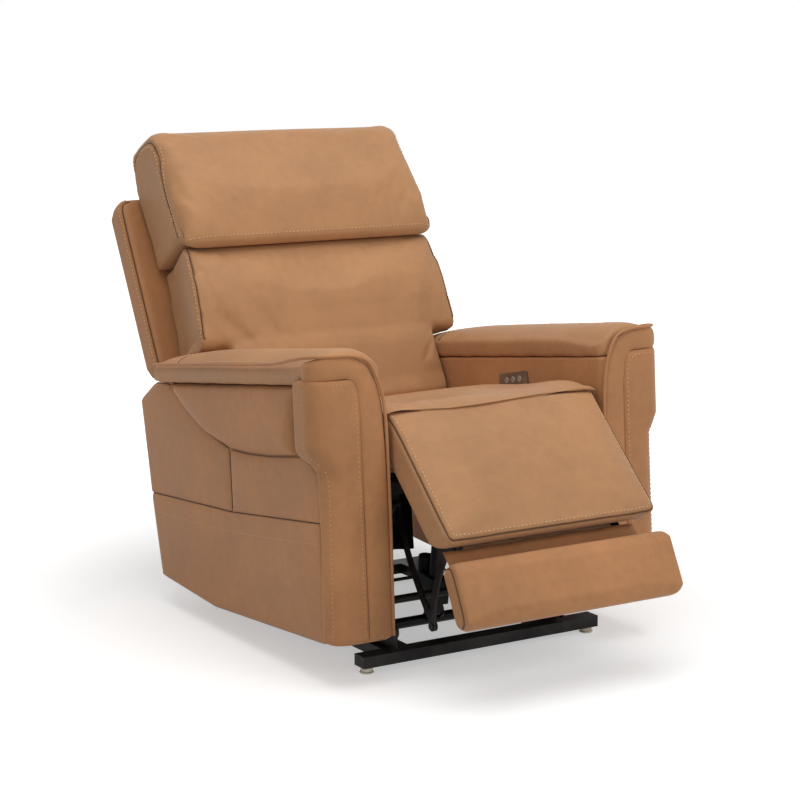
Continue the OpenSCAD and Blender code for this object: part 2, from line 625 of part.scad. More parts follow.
// ---- head pillow, hinged along its sewn crease ----
pillow_front = cushion_front - pillow_out;
pillow_low = crease_u + 7 + soft_seat;
module head_pillow() color("#bb9066") leaned() slab(-cushion_w / 2 - 8, cushion_w / 2 + 8) polygon(concat(
    [[shell_front - 6 - soft_seat, pillow_low]],
    arc([pillow_front + 40, pillow_low + 36], 36, 270, 180),
    [[pillow_front, crease_u + 90]],
    arc([pillow_front + 92, pillow_top - 42], 42, 170, 90),
    arc([shell_front - 60, pillow_top - 36], 30, 80, 10),
    [[shell_front - 6 - soft_seat, shell_top]]));
module head_plate() color("#17110f") leaned() {
    slab(-200, 200) polygon([[shell_front - 6, crease_u + 5], [shell_front - 2, crease_u + 5],
        [shell_front - 2, shell_top - 10], [shell_front - 6, shell_top - 10]]);
    slab(-170, 170) polygon([[shell_front - 5, crease_u + 5], [shell_front - 5, crease_u + 5 + leaf_t],
        [head_hinge[0] + 6, crease_u + 5 + leaf_t], [head_hinge[0] + 6, crease_u + 5]]);
    for (s = [-1, 1]) difference() {
        slab(s * 110 - 18, s * 110 + 18) knuckle(leaf_t);
        across(s * 110 - 20, s * 110 + 20, head_hinge, 2 + fit);
    }
}

// ---- recline actuator ----
ram2_len = norm(ram2_top - ram2_low);
ram2_angle = atan2(ram2_top[0] - ram2_low[0], ram2_top[1] - ram2_low[1]);
module along_ram2() seated() translate([0, ram2_low[0], ram2_low[1]]) rotate([-ram2_angle, 0, 0])
    children();
module recline_motor() color("#0c0c0c") along_ram2() {
    difference() {
        union() {
            rotate([0, 90, 0]) cylinder(r = 12, h = 20, center = true);
            translate([-10, -12, 0]) cube([20, 24, 20]);
        }
        rotate([0, 90, 0]) cylinder(r = 5 + fit, h = 40, center = true);
    }
    translate([0, 0, 18]) linear_extrude(60) polygon(round_box(-22, -20, 22, 38, 8));
    translate([0, 38, 40]) rotate([-90, 0, 0]) cylinder(r = 17, h = 54);
}
module recline_tube() color("#23201f") along_ram2() translate([0, 0, 78]) difference() {
    cylinder(d = 30, h = 130);
    translate([0, 0, 4]) cylinder(d = 20.4, h = 130);
}
recline_fit = 2;
module recline_rod() color("#b9b9b7") along_ram2() difference() {
    union() {
        translate([0, 0, 124]) cylinder(d = 20, h = ram2_len - 134);
        translate([0, 0, ram2_len]) rotate([0, 90, 0]) cylinder(r = 13, h = 20, center = true);
    }
    translate([0, 0, ram2_len]) rotate([0, 90, 0]) cylinder(r = 5 + recline_fit, h = 40, center = true);
}

// ---- legrest ----
module legrest_pad() color("#bb9065") hung() intersection() {
    slab(-leg_w / 2, leg_w / 2) polygon(concat(
        [[leg_t - leg_hinge_drop, -30]],
        arc([0, 0], leg_hinge_drop, 40, 180, 10),
        arc([30 - leg_hinge_drop, 30 - leg_len], 30, 180, 270),
        arc([leg_t - leg_hinge_drop - 22, 22 - leg_len], 22, 270, 360)));
    translate([0, 200, 0]) rotate([90, 0, 0]) linear_extrude(400)
        polygon(round_box(-leg_w / 2, -leg_len - 1, leg_w / 2, leg_hinge_drop + 1, 24));
}
board_t = 12;
board_drop = 98;
board_y = leg_t - leg_hinge_drop + 0.5;
board_w = 2 * (lane(0) - 8);
module legrest_board() color("#6b4a33") hung()
    translate([-board_w / 2, board_y, -leg_len + 26]) cube([board_w, board_t, leg_len - board_drop - 26]);
module legrest_brackets() color("#1b1614") hung() for (left = [true, false]) sided(left) {
    slab(lane(2), lane(2) + plate_t) difference() {
        polygon(concat(
            arc([leg_t_pin[0], leg_t_pin[1]], 13, 0, 60),
            [[board_y + 24, -170], [board_y + 16, -board_drop], [board_y, -board_drop], [board_y,
                -leg_len + 20]],
            arc([foot_pin[0], foot_pin[1]], 12, 200, 350)));
        polygon(round_box(board_y + 8, -232, board_y + 17, -board_drop - 26, 4));
    }
    // Angle that carries the board
    translate([board_w / 2, board_y, -leg_len + 40]) cube([lane(2) - board_w / 2, plate_t, 150]);
    translate([board_w / 2 - 30, board_y + board_t, -leg_len + 40]) cube([30, plate_t, 150]);
    translate([board_w / 2, board_y, -leg_len + 40]) cube([plate_t, board_t + plate_t, 150]);
    across(lane(1) - 0.5, lane(2), leg_t_pin, pin_r);
    across(lane(1) - head_t, lane(2), foot_pin, pin_r);
    across(lane(1) - head_t - 0.3, lane(1) - 0.3, foot_pin, pin_r + 2);
}
// Curved flat links, elbow down; the rear pair is pinned to the side plates, the front pair to the legrest
elbow = [leg_elbow[0], leg_elbow[1]];
t_pin = leg_place(leg_t_pin);
drive_pin = leg_place(foot_drive);
// Arc-shaped bar from p to q that bows sideways by sag
module bowed(p, q, w, sag) {
    d = q - p;
    half = norm(d) / 2;
    r = (half * half + sag * sag) / (2 * abs(sag));
    mid = (p + q) / 2;
    n = [-d[1], d[0]] / norm(d) * sign(sag);
    c = mid + n * (abs(sag) - r);
    a0 = atan2(p[1] - c[1], p[0] - c[0]);
    a1 = atan2(q[1] - c[1], q[0] - c[0]);
    turn = a1 - a0 > 180 ? a1 - a0 - 360 : a1 - a0 < -180 ? a1 - a0 + 360 : a1 - a0;
    polygon(concat(arc(c, r + w * 0.42, a0, a0 + turn, 12), arc(c, r - w * 0.42, a0 + turn, a0, 12)));
    translate(p) circle(d = w);
    translate(q) circle(d = w);
}
module leg_link_rear(left) color("#1b1614") seated() sided(left) {
    slab(lane(0), lane(0) + plate_t) difference() {
        bowed(elbow, leg_s_pin, leg_link_w, -14);
        translate(leg_s_pin) circle(r = pin_r + fit);
    }
    across(lane(0) + plate_t, lane(1) + plate_t + head_t, elbow, pin_r);
    across(lane(1) + plate_t + 0.3, lane(1) + plate_t + head_t + 0.3, elbow, pin_r + 2);
}
module leg_link_rear_left() leg_link_rear(true);
module leg_link_rear_right() leg_link_rear(false);
module leg_link_front(left) color("#1b1614") seated() sided(left) {
    slab(lane(1), lane(1) + plate_t) difference() {
        union() {
            bowed(elbow, t_pin, leg_link_w, -12);
            bar(t_pin, drive_pin, 18, 1, 1);
        }
        translate(elbow) circle(r = pin_r + fit);
        translate(t_pin) circle(r = pin_r + fit);
    }
    across(lane(0), lane(1) + 1, drive_pin, 4);
}
module leg_link_front_left() leg_link_front(true);
module leg_link_front_right() leg_link_front(false);
roller_at = elbow + (t_pin - elbow) * 0.72;
module link_rollers() color("#e8e2d6") seated() for (left = [true, false]) sided(left)
    translate([lane(0) - 1, 0, 0]) across(-6, 6, roller_at + [-4, 2], 6);
module foot_links() color("#1b1614") hung() for (left = [true, false]) sided(left)
    slab(lane(0), lane(0) + plate_t) bar(foot_drive, foot_crank, 18, 4 + fit, 4 + foot_fit);

// ---- foot pad ----
foot_face = -86;
module foot_pad() color("#b98e63") folded() intersection() {
    slab(-foot_w / 2, foot_w / 2) polygon(concat(
        arc([foot_face + 20, -28], 20, 90, 180),
        arc([foot_face + 20, 12 - foot_h], 20, 180, 270),
        arc([foot_face + foot_t - 16, 8 - foot_h], 16, 270, 360),
        arc([foot_face + foot_t - 16, -24], 16, 0, 90)));
    translate([0, 200, 0]) rotate([90, 0, 0]) linear_extrude(400)
        polygon(round_box(-foot_w / 2, -foot_h - 9, foot_w / 2, -7, 20));
}
foot_back = foot_face + foot_t + 0.5;
module foot_board() color("#6b4a33") folded()
    translate([-lane(0) - 2, foot_back, -foot_h + 14]) cube([2 * lane(0) + 4, 9, foot_h - 42]);
module foot_arms() color("#1b1614") folded() for (left = [true, false]) sided(left) {
    k = turned([foot_crank[0] - foot_pin[0], foot_crank[1] - foot_pin[1]], -foot_fold);
    slab(lane(1), lane(1) + plate_t) difference() {
        union() {
            circle(r = 12);
            translate(k) circle(r = 8);
            polygon([[-6, -10], [8, -8], k + [6, -5], k + [-6, 5], [-8, 8]]);
            polygon([[foot_back + 9, -26], [-6, -12], [10, -6], [-4, -40], [foot_back + 9, -foot_h + 20]]);
        }
        circle(r = pin_r + fit);
        translate(k) circle(r = 1);
    }
    translate([lane(1) - 16, foot_back + 9, -foot_h + 20]) cube([20, plate_t, foot_h - 50]);
    across(lane(0), lane(1) + 1, k, 4);
}

front_tube();
rear_tube();
motor_tube();
rail_left();
rail_right();
glide_stems();
glide_feet();
lift_link_front_left();
lift_link_front_right();
lift_cross_tube();
lift_link_rear_left();
lift_link_rear_right();
lift_tie_rod();
lift_motor();
lift_tube();
lift_rod();
side_plate_left();
side_plate_right();
seat_crossbar_front();
seat_crossbar_rear();
seat_deck();
seat_cushion();
arm_left();
arm_right();
arm_side_left();
arm_side_right();
arm_top_left();
arm_top_right();
arm_front_left();
arm_front_right();
pocket_left();
pocket_right();
seat_valances();
control_plate();
button_recline();
button_head();
button_lift();
back_shell();
back_frame();
back_cushion();
head_plate();
head_pillow();
recline_motor();
recline_tube();
recline_rod();
legrest_pad();
legrest_board();
legrest_brackets();
leg_link_rear_left();
leg_link_rear_right();
leg_link_front_left();
leg_link_front_right();
link_rollers();
foot_links();
foot_pad();
foot_board();
foot_arms();
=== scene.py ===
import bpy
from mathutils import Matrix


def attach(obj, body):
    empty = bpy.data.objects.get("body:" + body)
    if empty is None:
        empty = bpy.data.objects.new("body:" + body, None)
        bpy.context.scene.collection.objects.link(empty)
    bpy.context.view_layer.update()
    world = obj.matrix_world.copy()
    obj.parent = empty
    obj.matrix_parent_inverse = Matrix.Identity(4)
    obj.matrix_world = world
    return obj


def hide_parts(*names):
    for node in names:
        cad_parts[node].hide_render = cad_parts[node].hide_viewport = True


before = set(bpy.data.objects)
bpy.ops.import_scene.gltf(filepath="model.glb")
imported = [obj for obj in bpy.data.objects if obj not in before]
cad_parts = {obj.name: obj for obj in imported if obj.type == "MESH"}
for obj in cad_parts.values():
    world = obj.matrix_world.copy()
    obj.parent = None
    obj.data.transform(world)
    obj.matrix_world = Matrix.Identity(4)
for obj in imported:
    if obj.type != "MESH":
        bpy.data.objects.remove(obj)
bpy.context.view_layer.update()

import math

import bmesh
import bpy
import numpy as np
from mathutils import Matrix, Vector
from mathutils.bvhtree import BVHTree
from mathutils.kdtree import KDTree

# ---------------------------------------------------------------- studio
# The chair stands on a plain pale floor under large soft lamps, seen from
# its front corner on the -X side with a long lens.

scene = bpy.context.scene
scene.view_settings.view_transform = "Standard"

lens = bpy.data.cameras.new("studio_camera")
lens.lens = 96.75
lens.sensor_width = 36
lens.clip_end = 60
camera = bpy.data.objects.new("studio_camera", lens)
scene.collection.objects.link(camera)
camera.location = (-2.5375, -4.0904, 1.375)
camera.rotation_euler = Vector((-0.5204, -0.8352, 0.178)).to_track_quat("Z", "Y").to_euler()
scene.camera = camera


def softbox(name, place, aim, size, watts):
    """A large square lamp at place, turned towards aim."""
    lamp = bpy.data.lights.new(name, "AREA")
    lamp.shape = "SQUARE"
    lamp.size = size
    lamp.energy = watts
    lamp.color = (1.0, 0.985, 0.965)
    box = bpy.data.objects.new(name, lamp)
    box.location = place
    box.rotation_euler = (Vector(place) - Vector(aim)).to_track_quat("Z", "Y").to_euler()
    scene.collection.objects.link(box)


softbox("overhead_softbox", (-0.3, -0.6, 3.6), (0, 0, 0.4), 3.2, 76)
softbox("front_softbox", (1.8, -4.4, 2.2), (0, 0, 0.5), 2.8, 58)
softbox("side_softbox", (-4.2, -1.2, 1.9), (0, 0, 0.5), 2.6, 12)


def node_of(tree, kind, values=(), **settings):
    """A new shader node with the given settings and socket values."""
    node = tree.nodes.new("ShaderNode" + kind)
    for name, value in settings.items():
        setattr(node, name, value)
    for socket, value in dict(values).items():
        node.inputs[socket].default_value = value
    return node


def wire(tree, pairs):
    """Joins (from node, output) to (to node, input) sockets."""
    for (source, out), (target, into) in pairs:
        tree.links.new(source.outputs[out], target.inputs[into])


def seen_white(tree):
    """1 for rays that should meet the white surround: camera, mirror and glass rays."""
    path = node_of(tree, "LightPath")
    first = node_of(tree, "Math", operation="MAXIMUM")
    second = node_of(tree, "Math", operation="MAXIMUM")
    wire(tree, [((path, "Is Camera Ray"), (first, 0)), ((path, "Is Glossy Ray"), (first, 1)),
                ((first, 0), (second, 0)), ((path, "Is Transmission Ray"), (second, 1))])
    return second


world = bpy.data.worlds.new("studio_world")
world.use_nodes = True
scene.world = world
tree = world.node_tree
tree.nodes.clear()
ambient = node_of(tree, "Background", {"Color": (0.98, 0.99, 1.0, 1), "Strength": 0.3})
surround = node_of(tree, "Background", {"Color": (1, 1, 1, 1), "Strength": 1})
choose = node_of(tree, "MixShader")
world_out = node_of(tree, "OutputWorld")
wire(tree, [((seen_white(tree), 0), (choose, 0)), ((ambient, 0), (choose, 1)),
            ((surround, 0), (choose, 2)), ((choose, 0), (world_out, 0))])

bm = bmesh.new()
bmesh.ops.create_grid(bm, x_segments=1, y_segments=1, size=14)
floor_mesh = bpy.data.meshes.new("studio_floor")
bm.to_mesh(floor_mesh)
bm.free()
floor = bpy.data.objects.new("studio_floor", floor_mesh)
scene.collection.objects.link(floor)
paint = bpy.data.materials.new("floor_paint")
paint.use_nodes = True
tree = paint.node_tree
tree.nodes.clear()
matt = node_of(tree, "BsdfDiffuse", {"Color": (0.8, 0.8, 0.8, 1)})
glow = node_of(tree, "Emission", {"Color": (1, 1, 1, 1)})
where = node_of(tree, "TexCoord")
away = node_of(tree, "VectorMath", operation="LENGTH")
fade = node_of(tree, "MapRange", {1: 0.75, 2: 2.0, 3: 0.44, 4: 1.0})
both = node_of(tree, "AddShader")
choose = node_of(tree, "MixShader")
floor_out = node_of(tree, "OutputMaterial")
wire(tree, [((where, "Object"), (away, 0)), ((away, "Value"), (fade, 0)), ((fade, 0), (glow, "Strength")),
            ((seen_white(tree), 0), (choose, 0)), ((matt, 0), (both, 0)), ((glow, 0), (both, 1)),
            ((matt, 0), (choose, 1)), ((both, 0), (choose, 2)), ((choose, 0), (floor_out, 0))])
floor_mesh.materials.append(paint)

# ---------------------------------------------------------------- lift base and linkage
# Folded and welded steel: floor tubes, rails, lift links, side plates, cross
# bars and legrest links, powder coated satin black and rubbed at the edges.


def group_of(name, sockets_in, sockets_out):
    """An empty shader node group with its sockets, and its two end nodes."""
    group = bpy.data.node_groups.new(name, "ShaderNodeTree")
    for label, kind, value in sockets_in:
        socket = group.interface.new_socket(label, in_out="INPUT", socket_type=kind)
        socket.default_value = value
    for label, kind in sockets_out:
        group.interface.new_socket(label, in_out="OUTPUT", socket_type=kind)
    return group, group.nodes.new("NodeGroupInput"), group.nodes.new("NodeGroupOutput")


def noise(tree, scale, detail=4.0, rough=0.5, stretch=(1, 1, 1)):
    """A noise texture on the piece's own coordinates."""
    where = node_of(tree, "TexCoord")
    turn = node_of(tree, "Mapping", {"Scale": stretch})
    cloud = node_of(tree, "TexNoise", {"Scale": scale, "Detail": detail, "Roughness": rough})
    wire(tree, [((where, "Object"), (turn, 0)), ((turn, 0), (cloud, "Vector"))])
    return cloud


def spread(tree, source, out, low, high, to_low=0.0, to_high=1.0):
    """Stretches a value from low..high to to_low..to_high."""
    node = node_of(tree, "MapRange", {1: low, 2: high, 3: to_low, 4: to_high})
    wire(tree, [((source, out), (node, 0))])
    return node


def mixed(tree, factor, one, two):
    """Mixes two colours by a factor node."""
    node = node_of(tree, "Mix", {6: (*one, 1), 7: (*two, 1)}, data_type="RGBA")
    wire(tree, [((factor, 0), (node, 0))])
    return node


def surface_of(name, values=()):
    """A new material, its node tree and its surface node with the given socket values."""
    material = bpy.data.materials.new(name)
    material.use_nodes = True
    surface = material.node_tree.nodes["Principled BSDF"]
    for socket, value in dict(values).items():
        surface.inputs[socket].default_value = value
    return material, material.node_tree, surface


def relief_on(tree, surface, source, out, strength, distance):
    """Bumps a surface by a height, over distance metres."""
    relief = node_of(tree, "Bump", {"Strength": strength, "Distance": distance})
    wire(tree, [((source, out), (relief, "Height")), ((relief, 0), (surface, "Normal"))])


wear, wear_in, wear_out = group_of(
    "rubbed_finish",
    [("Coat", "NodeSocketColor", (0.02, 0.02, 0.02, 1)), ("Rubbed", "NodeSocketColor", (0.08, 0.08, 0.08, 1)),
     ("Scale", "NodeSocketFloat", 60.0), ("Gloss", "NodeSocketFloat", 0.4)],
    [("Color", "NodeSocketColor"), ("Roughness", "NodeSocketFloat"), ("Height", "NodeSocketFloat")])
edge = spread(wear, node_of(wear, "NewGeometry"), "Pointiness", 0.53, 0.62)
streak = noise(wear, 9.0, 5.0, 0.6)
patch = spread(wear, streak, 0, 0.42, 0.72)
worn = node_of(wear, "Math", operation="MULTIPLY")
coat = node_of(wear, "Mix", data_type="RGBA")
peel = noise(wear, 300.0, 2.0)
level = node_of(wear, "Math", {1: 0.28}, operation="MULTIPLY_ADD")
height = node_of(wear, "Math", operation="MULTIPLY")
wire(wear, [((edge, 0), (worn, 0)), ((patch, 0), (worn, 1)), ((worn, 0), (coat, 0)),
            ((wear_in, "Coat"), (coat, 6)), ((wear_in, "Rubbed"), (coat, 7)),
            ((coat, 2), (wear_out, "Color")), ((streak, 0), (level, 0)), ((wear_in, "Gloss"), (level, 2)),
            ((level, 0), (wear_out, "Roughness")), ((wear_in, "Scale"), (height, 0)),
            ((peel, 0), (height, 1)), ((height, 0), (wear_out, "Height"))])


def finish_of(name, coat_colour, rubbed, gloss, metal=0.0, peel_size=1.0, bump=0.1, shine=0.5):
    """A hard finish: paint, plastic or bare metal with its own wear."""
    material, tree, surface = surface_of(name, {"Metallic": metal, "Specular IOR Level": shine})
    values = {"Coat": (*coat_colour, 1), "Rubbed": (*rubbed, 1), "Gloss": gloss, "Scale": peel_size}
    wearing = node_of(tree, "Group", values, node_tree=wear)
    relief_on(tree, surface, wearing, "Height", bump, 0.0004)
    wire(tree, [((wearing, "Color"), (surface, "Base Color")),
                ((wearing, "Roughness"), (surface, "Roughness"))])
    return material


def coat_nodes(material, *names):
    """Gives CAD nodes this finish."""
    for name in names:
        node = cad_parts[name]
        node.data.materials.clear()
        node.data.materials.append(material)


black_steel = finish_of("black_powder_coat", (0.006, 0.005, 0.005), (0.05, 0.046, 0.043), 0.3, shine=0.2)
coat_nodes(black_steel, "front_tube", "rear_tube", "motor_tube", "rail_left", "rail_right",
           "lift_link_front_left", "lift_link_front_right", "lift_cross_tube", "lift_link_rear_left",
           "lift_link_rear_right", "lift_tie_rod", "side_plate_left", "side_plate_right",
           "seat_crossbar_front", "seat_crossbar_rear", "back_frame", "head_plate", "legrest_brackets",
           "leg_link_rear_left", "leg_link_rear_right", "leg_link_front_left", "leg_link_front_right",
           "foot_links", "foot_arms")

# ---------------------------------------------------------------- glides and rollers
# Turned levelling glides under the floor tubes, dull zinc on a moulded foot,
# and two small off-white nylon rollers on the legrest links.

coat_nodes(finish_of("zinc_stem", (0.35, 0.31, 0.25), (0.6, 0.57, 0.5), 0.3, metal=0.9), "glide_stems")
coat_nodes(finish_of("glide_foot", (0.62, 0.56, 0.46), (0.75, 0.7, 0.6), 0.32, metal=0.35), "glide_feet")
coat_nodes(finish_of("nylon_roller", (0.72, 0.68, 0.58), (0.85, 0.82, 0.75), 0.4), "link_rollers")

# ---------------------------------------------------------------- actuators
# Two electric linear actuators: black motor housings, black outer tubes and
# bright drawn steel rods.

coat_nodes(finish_of("motor_housing", (0.008, 0.008, 0.009), (0.04, 0.04, 0.04), 0.42, peel_size=2.0,
                     bump=0.35, shine=0.25), "lift_motor", "recline_motor")
coat_nodes(finish_of("actuator_tube", (0.01, 0.009, 0.009), (0.06, 0.06, 0.06), 0.3, shine=0.25),
           "lift_tube", "recline_tube")
coat_nodes(finish_of("drawn_rod", (0.58, 0.58, 0.57), (0.75, 0.75, 0.74), 0.14, metal=1.0),
           "lift_rod", "recline_rod")

# ---------------------------------------------------------------- plywood boards
# The seat deck and the boards behind the leg and foot pads are cut from
# plywood, and their faces show straight grain.

ply, tree, surface = surface_of("sanded_plywood")
figure = noise(tree, 14.0, 6.0, 0.62, (1, 9, 9))
veneer = mixed(tree, spread(tree, figure, 0, 0.32, 0.7), (0.25, 0.14, 0.075), (0.42, 0.27, 0.15))
relief_on(tree, surface, noise(tree, 90.0, 3.0, 0.6, (1, 14, 14)), 0, 0.3, 0.0006)
dull = spread(tree, figure, 0, 0.2, 0.8, 0.55, 0.78)
wire(tree, [((veneer, 2), (surface, "Base Color")), ((dull, 0), (surface, "Roughness"))])
coat_nodes(ply, "seat_deck", "legrest_board", "foot_board")

# ---------------------------------------------------------------- seat cushion
# A foam seat under one hide, crowned in soft lobes and hollowed where people
# sit, with its front edge rolled down over the legrest.

MM = 0.001


def tilted(base, place, angle):
    """A frame inside another: moved by place in metres, then turned about X by angle degrees."""
    return base @ Matrix.Translation(place) @ Matrix.Rotation(math.radians(angle), 4, "X")


seated = tilted(Matrix(), (0, -0.3469, 0), -4.35)
leaned = tilted(seated, (0, 0.6, 0.38), -23.8)
hung = tilted(seated, (0, -0.066, 0.513), -42.6)
folded = tilted(hung, (0, 0.042, -0.310), 20)

hide_grain, grain_in, grain_out = group_of(
    "hide_grain",
    [("Hide", "NodeSocketColor", (0.4, 0.2, 0.1, 1)), ("Shade", "NodeSocketColor", (0.1, 0.04, 0.02, 1)),
     ("Mottle", "NodeSocketFloat", 1.0)],
    [("Color", "NodeSocketColor"), ("Roughness", "NodeSocketFloat"), ("Height", "NodeSocketFloat")])
cloudy = noise(hide_grain, 5.0, 5.0, 0.55)
flecks = noise(hide_grain, 46.0, 4.0, 0.6)
both = node_of(hide_grain, "Math", {1: 0.45}, operation="MULTIPLY_ADD")
tone = spread(hide_grain, both, 0, 0.5, 0.95, 0.88, 1.12)
pull = node_of(hide_grain, "Math", operation="POWER")
tinted = node_of(hide_grain, "VectorMath", operation="SCALE")
# Painted shade: the seam attribute mixes the hide's colour towards Shade along each seam, where shade falls
# in the groove.
seam_shade_mark = node_of(hide_grain, "Attribute", attribute_name="seam")
seam_shaded = node_of(hide_grain, "Mix", data_type="RGBA")
where = node_of(hide_grain, "TexCoord")
pebble = node_of(hide_grain, "TexVoronoi", {"Scale": 520.0})
crease = noise(hide_grain, 130.0, 5.0, 0.65)
height = node_of(hide_grain, "Math", {1: 0.8}, operation="MULTIPLY_ADD")
sheen = spread(hide_grain, both, 0, 0.45, 1.0, 0.46, 0.62)
wire(hide_grain, [((flecks, 0), (both, 0)), ((cloudy, 0), (both, 2)),
                  ((tone, 0), (pull, 0)), ((grain_in, "Mottle"), (pull, 1)),
                  ((grain_in, "Hide"), (tinted, 0)), ((pull, 0), (tinted, "Scale")),
                  ((seam_shade_mark, "Fac"), (seam_shaded, 0)), ((tinted, 0), (seam_shaded, 6)), ((grain_in, "Shade"), (seam_shaded, 7)),
                  ((seam_shaded, 2), (grain_out, "Color")), ((where, "Object"), (pebble, "Vector")),
                  ((crease, 0), (height, 0)), ((pebble, "Distance"), (height, 2)),
                  ((height, 0), (grain_out, "Height")), ((sheen, 0), (grain_out, "Roughness"))])


def leather(name, hide, mottle=1.0):
    """Semi-aniline hide of one colour, with its grain and mottle, and painted shade that darkens it along the
    seams.
    """
    material, tree, surface = surface_of(
        name, {"Specular IOR Level": 0.2, "Sheen Weight": 0.08, "Sheen Roughness": 0.5})
    # Colour of the painted shade at the seams: the hide at 22 % of its brightness.
    shade = [channel * 0.22 for channel in hide]
    values = {"Hide": (*hide, 1), "Shade": (*shade, 1), "Mottle": mottle}
    grain = node_of(tree, "Group", values, node_tree=hide_grain)
    relief_on(tree, surface, grain, "Height", 0.22, 0.0006)
    wire(tree, [((grain, "Color"), (surface, "Base Color")), ((grain, "Roughness"), (surface, "Roughness"))])
    return material


tan = leather("tan_hide", (0.45, 0.232, 0.108))
# The same tan hide again, a little darker and more saturated: painted shade on the arms' bodies, panels and
# welts, the back shell, the legrest flap and the foot pad.
tan_shaded = leather("tan_hide_shaded", (0.445, 0.208, 0.088), 1.2)
thread = finish_of("waxed_thread", (0.70, 0.47, 0.25), (0.78, 0.56, 0.34), 0.5)
# Painted shadow: a very dark copy of the hide for the thin cords laid along the seams, where their shadow
# falls.
seam_shadow = leather("painted_seam_shadow", (0.085, 0.038, 0.018), 0.6)


def coordinates(mesh):
    """Vertex positions of a mesh, one row each, in metres."""
    flat = np.empty(len(mesh.vertices) * 3, np.float32)
    mesh.vertices.foreach_get("co", flat)
    return flat.reshape(-1, 3).astype(float)


def set_coordinates(mesh, rows):
    """Gives a mesh these vertex positions."""
    mesh.vertices.foreach_set("co", np.ascontiguousarray(rows, np.float32).ravel())
    mesh.update()


def normals(mesh):
    """Vertex normals of a mesh, one row each."""
    flat = np.empty(len(mesh.vertices) * 3, np.float32)
    mesh.vertices.foreach_get("normal", flat)
    return flat.reshape(-1, 3).astype(float)


def points_of(piece, place):
    """The x, y and z of a piece's vertices, in millimetres in the given frame."""
    turned = np.array(place.inverted())
    return ((coordinates(piece.data) @ turned[:3, :3].T + turned[:3, 3]) / MM).T


def put_points(piece, place, x, y, z):
    """Moves a piece's vertices to the given x, y and z, in millimetres in the given frame."""
    turned = np.array(place)
    own = np.stack([x, y, z], 1)
    set_coordinates(piece.data, (own * MM) @ turned[:3, :3].T + turned[:3, 3])


def swell(piece, height):
    """Moves each vertex of a piece out along its normal by height, in millimetres."""
    mesh = piece.data
    set_coordinates(mesh, coordinates(mesh) + normals(mesh) * (height * MM)[:, None])


def world_of(place, *points):
    """Points given in millimetres in a piece's frame, as world points."""
    return [place @ (Vector(p) * MM) for p in points]


def baked(piece):
    """Applies every modifier of a piece."""
    graph = bpy.context.evaluated_depsgraph_get()
    mesh = bpy.data.meshes.new_from_object(piece.evaluated_get(graph))
    piece.modifiers.clear()
    old, piece.data = piece.data, mesh
    mesh.name = piece.name
    bpy.data.meshes.remove(old)
    return piece


def new_piece(name, bm, material):
    """Turns a finished bmesh into a smooth piece."""
    mesh = bpy.data.meshes.new(name)
    bm.to_mesh(mesh)
    bm.free()
    mesh.materials.append(material)
    mesh.polygons.foreach_set("use_smooth", [True] * len(mesh.polygons))
    piece = bpy.data.objects.new(name, mesh)
    scene.collection.objects.link(piece)
    return piece


def skin_of(node):
    """The surface of a CAD solid, with its vertices joined."""
    bm = bmesh.new()
    bm.from_mesh(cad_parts[node].data)
    bmesh.ops.remove_doubles(bm, verts=bm.verts, dist=1e-5)
    return bm


def eased(piece, rounds):
    """Smooths the form of a piece."""
    ease = piece.modifiers.new("ease", "SMOOTH")
    ease.factor = 0.5
    ease.iterations = rounds
    return baked(piece)


def refined(piece):
    """Splits each face of a piece in four, smoothly."""
    finer = piece.modifiers.new("finer", "SUBSURF")
    finer.levels = finer.render_levels = 1
    return baked(piece)


def foam_block(name, node, voxel, material, place, rounds=3):
    """The foam form of a cushion: a CAD solid's skin as an even net, squared to its frame, edges eased."""
    bm = skin_of(node)
    bmesh.ops.transform(bm, matrix=place.inverted(), verts=bm.verts)
    piece = new_piece(name, bm, material)
    net = piece.modifiers.new("net", "REMESH")
    net.mode = "VOXEL"
    net.voxel_size = voxel
    net.use_smooth_shade = True
    eased(piece, rounds)
    piece.data.transform(place)
    piece.data.materials.clear()
    piece.data.materials.append(material)
    return piece


def stuffed(piece, place, allow, slack=0.02, pressure=4.0, frames=20):
    """Fills a cushion by cloth simulation. allow(x, y, z) is how far each point may swell, in millimetres."""
    start = coordinates(piece.data)
    room = np.clip(allow(*points_of(piece, place)), 0, None) * MM
    held = piece.vertex_groups.new(name="held")
    fixed = [int(i) for i in np.nonzero(room < 0.0002)[0]]
    held.add(fixed, 1.0, "REPLACE")
    cover = piece.modifiers.new("cover", "CLOTH")
    hide = cover.settings
    hide.quality = 4
    hide.mass = 0.25
    hide.tension_stiffness = 12
    hide.compression_stiffness = 12
    hide.shear_stiffness = 4
    hide.bending_stiffness = 0.6
    hide.use_pressure = True
    hide.uniform_pressure_force = pressure
    hide.shrink_min = -slack
    hide.effector_weights.gravity = 0
    hide.vertex_group_mass = "held"
    cover.point_cache.frame_start = 1
    cover.point_cache.frame_end = frames
    for step in range(1, frames + 1):
        scene.frame_set(step)
    baked(piece)
    scene.frame_set(1)
    moved = coordinates(piece.data) - start
    far = np.linalg.norm(moved, axis=1)
    limit = np.where(far > room, room / np.maximum(far, 1e-9), 1.0)
    set_coordinates(piece.data, start + moved * limit[:, None])
    refined(piece)


def even(line, step):
    """A line resampled to even steps, in metres."""
    rows = np.array([list(p) for p in line], float)
    length = np.concatenate([[0], np.cumsum(np.linalg.norm(np.diff(rows, axis=0), axis=1))])
    count = max(2, int(length[-1] / step) + 1)
    at = np.linspace(0, length[-1], count)
    return np.stack([np.interp(at, length, rows[:, i]) for i in range(3)], 1)


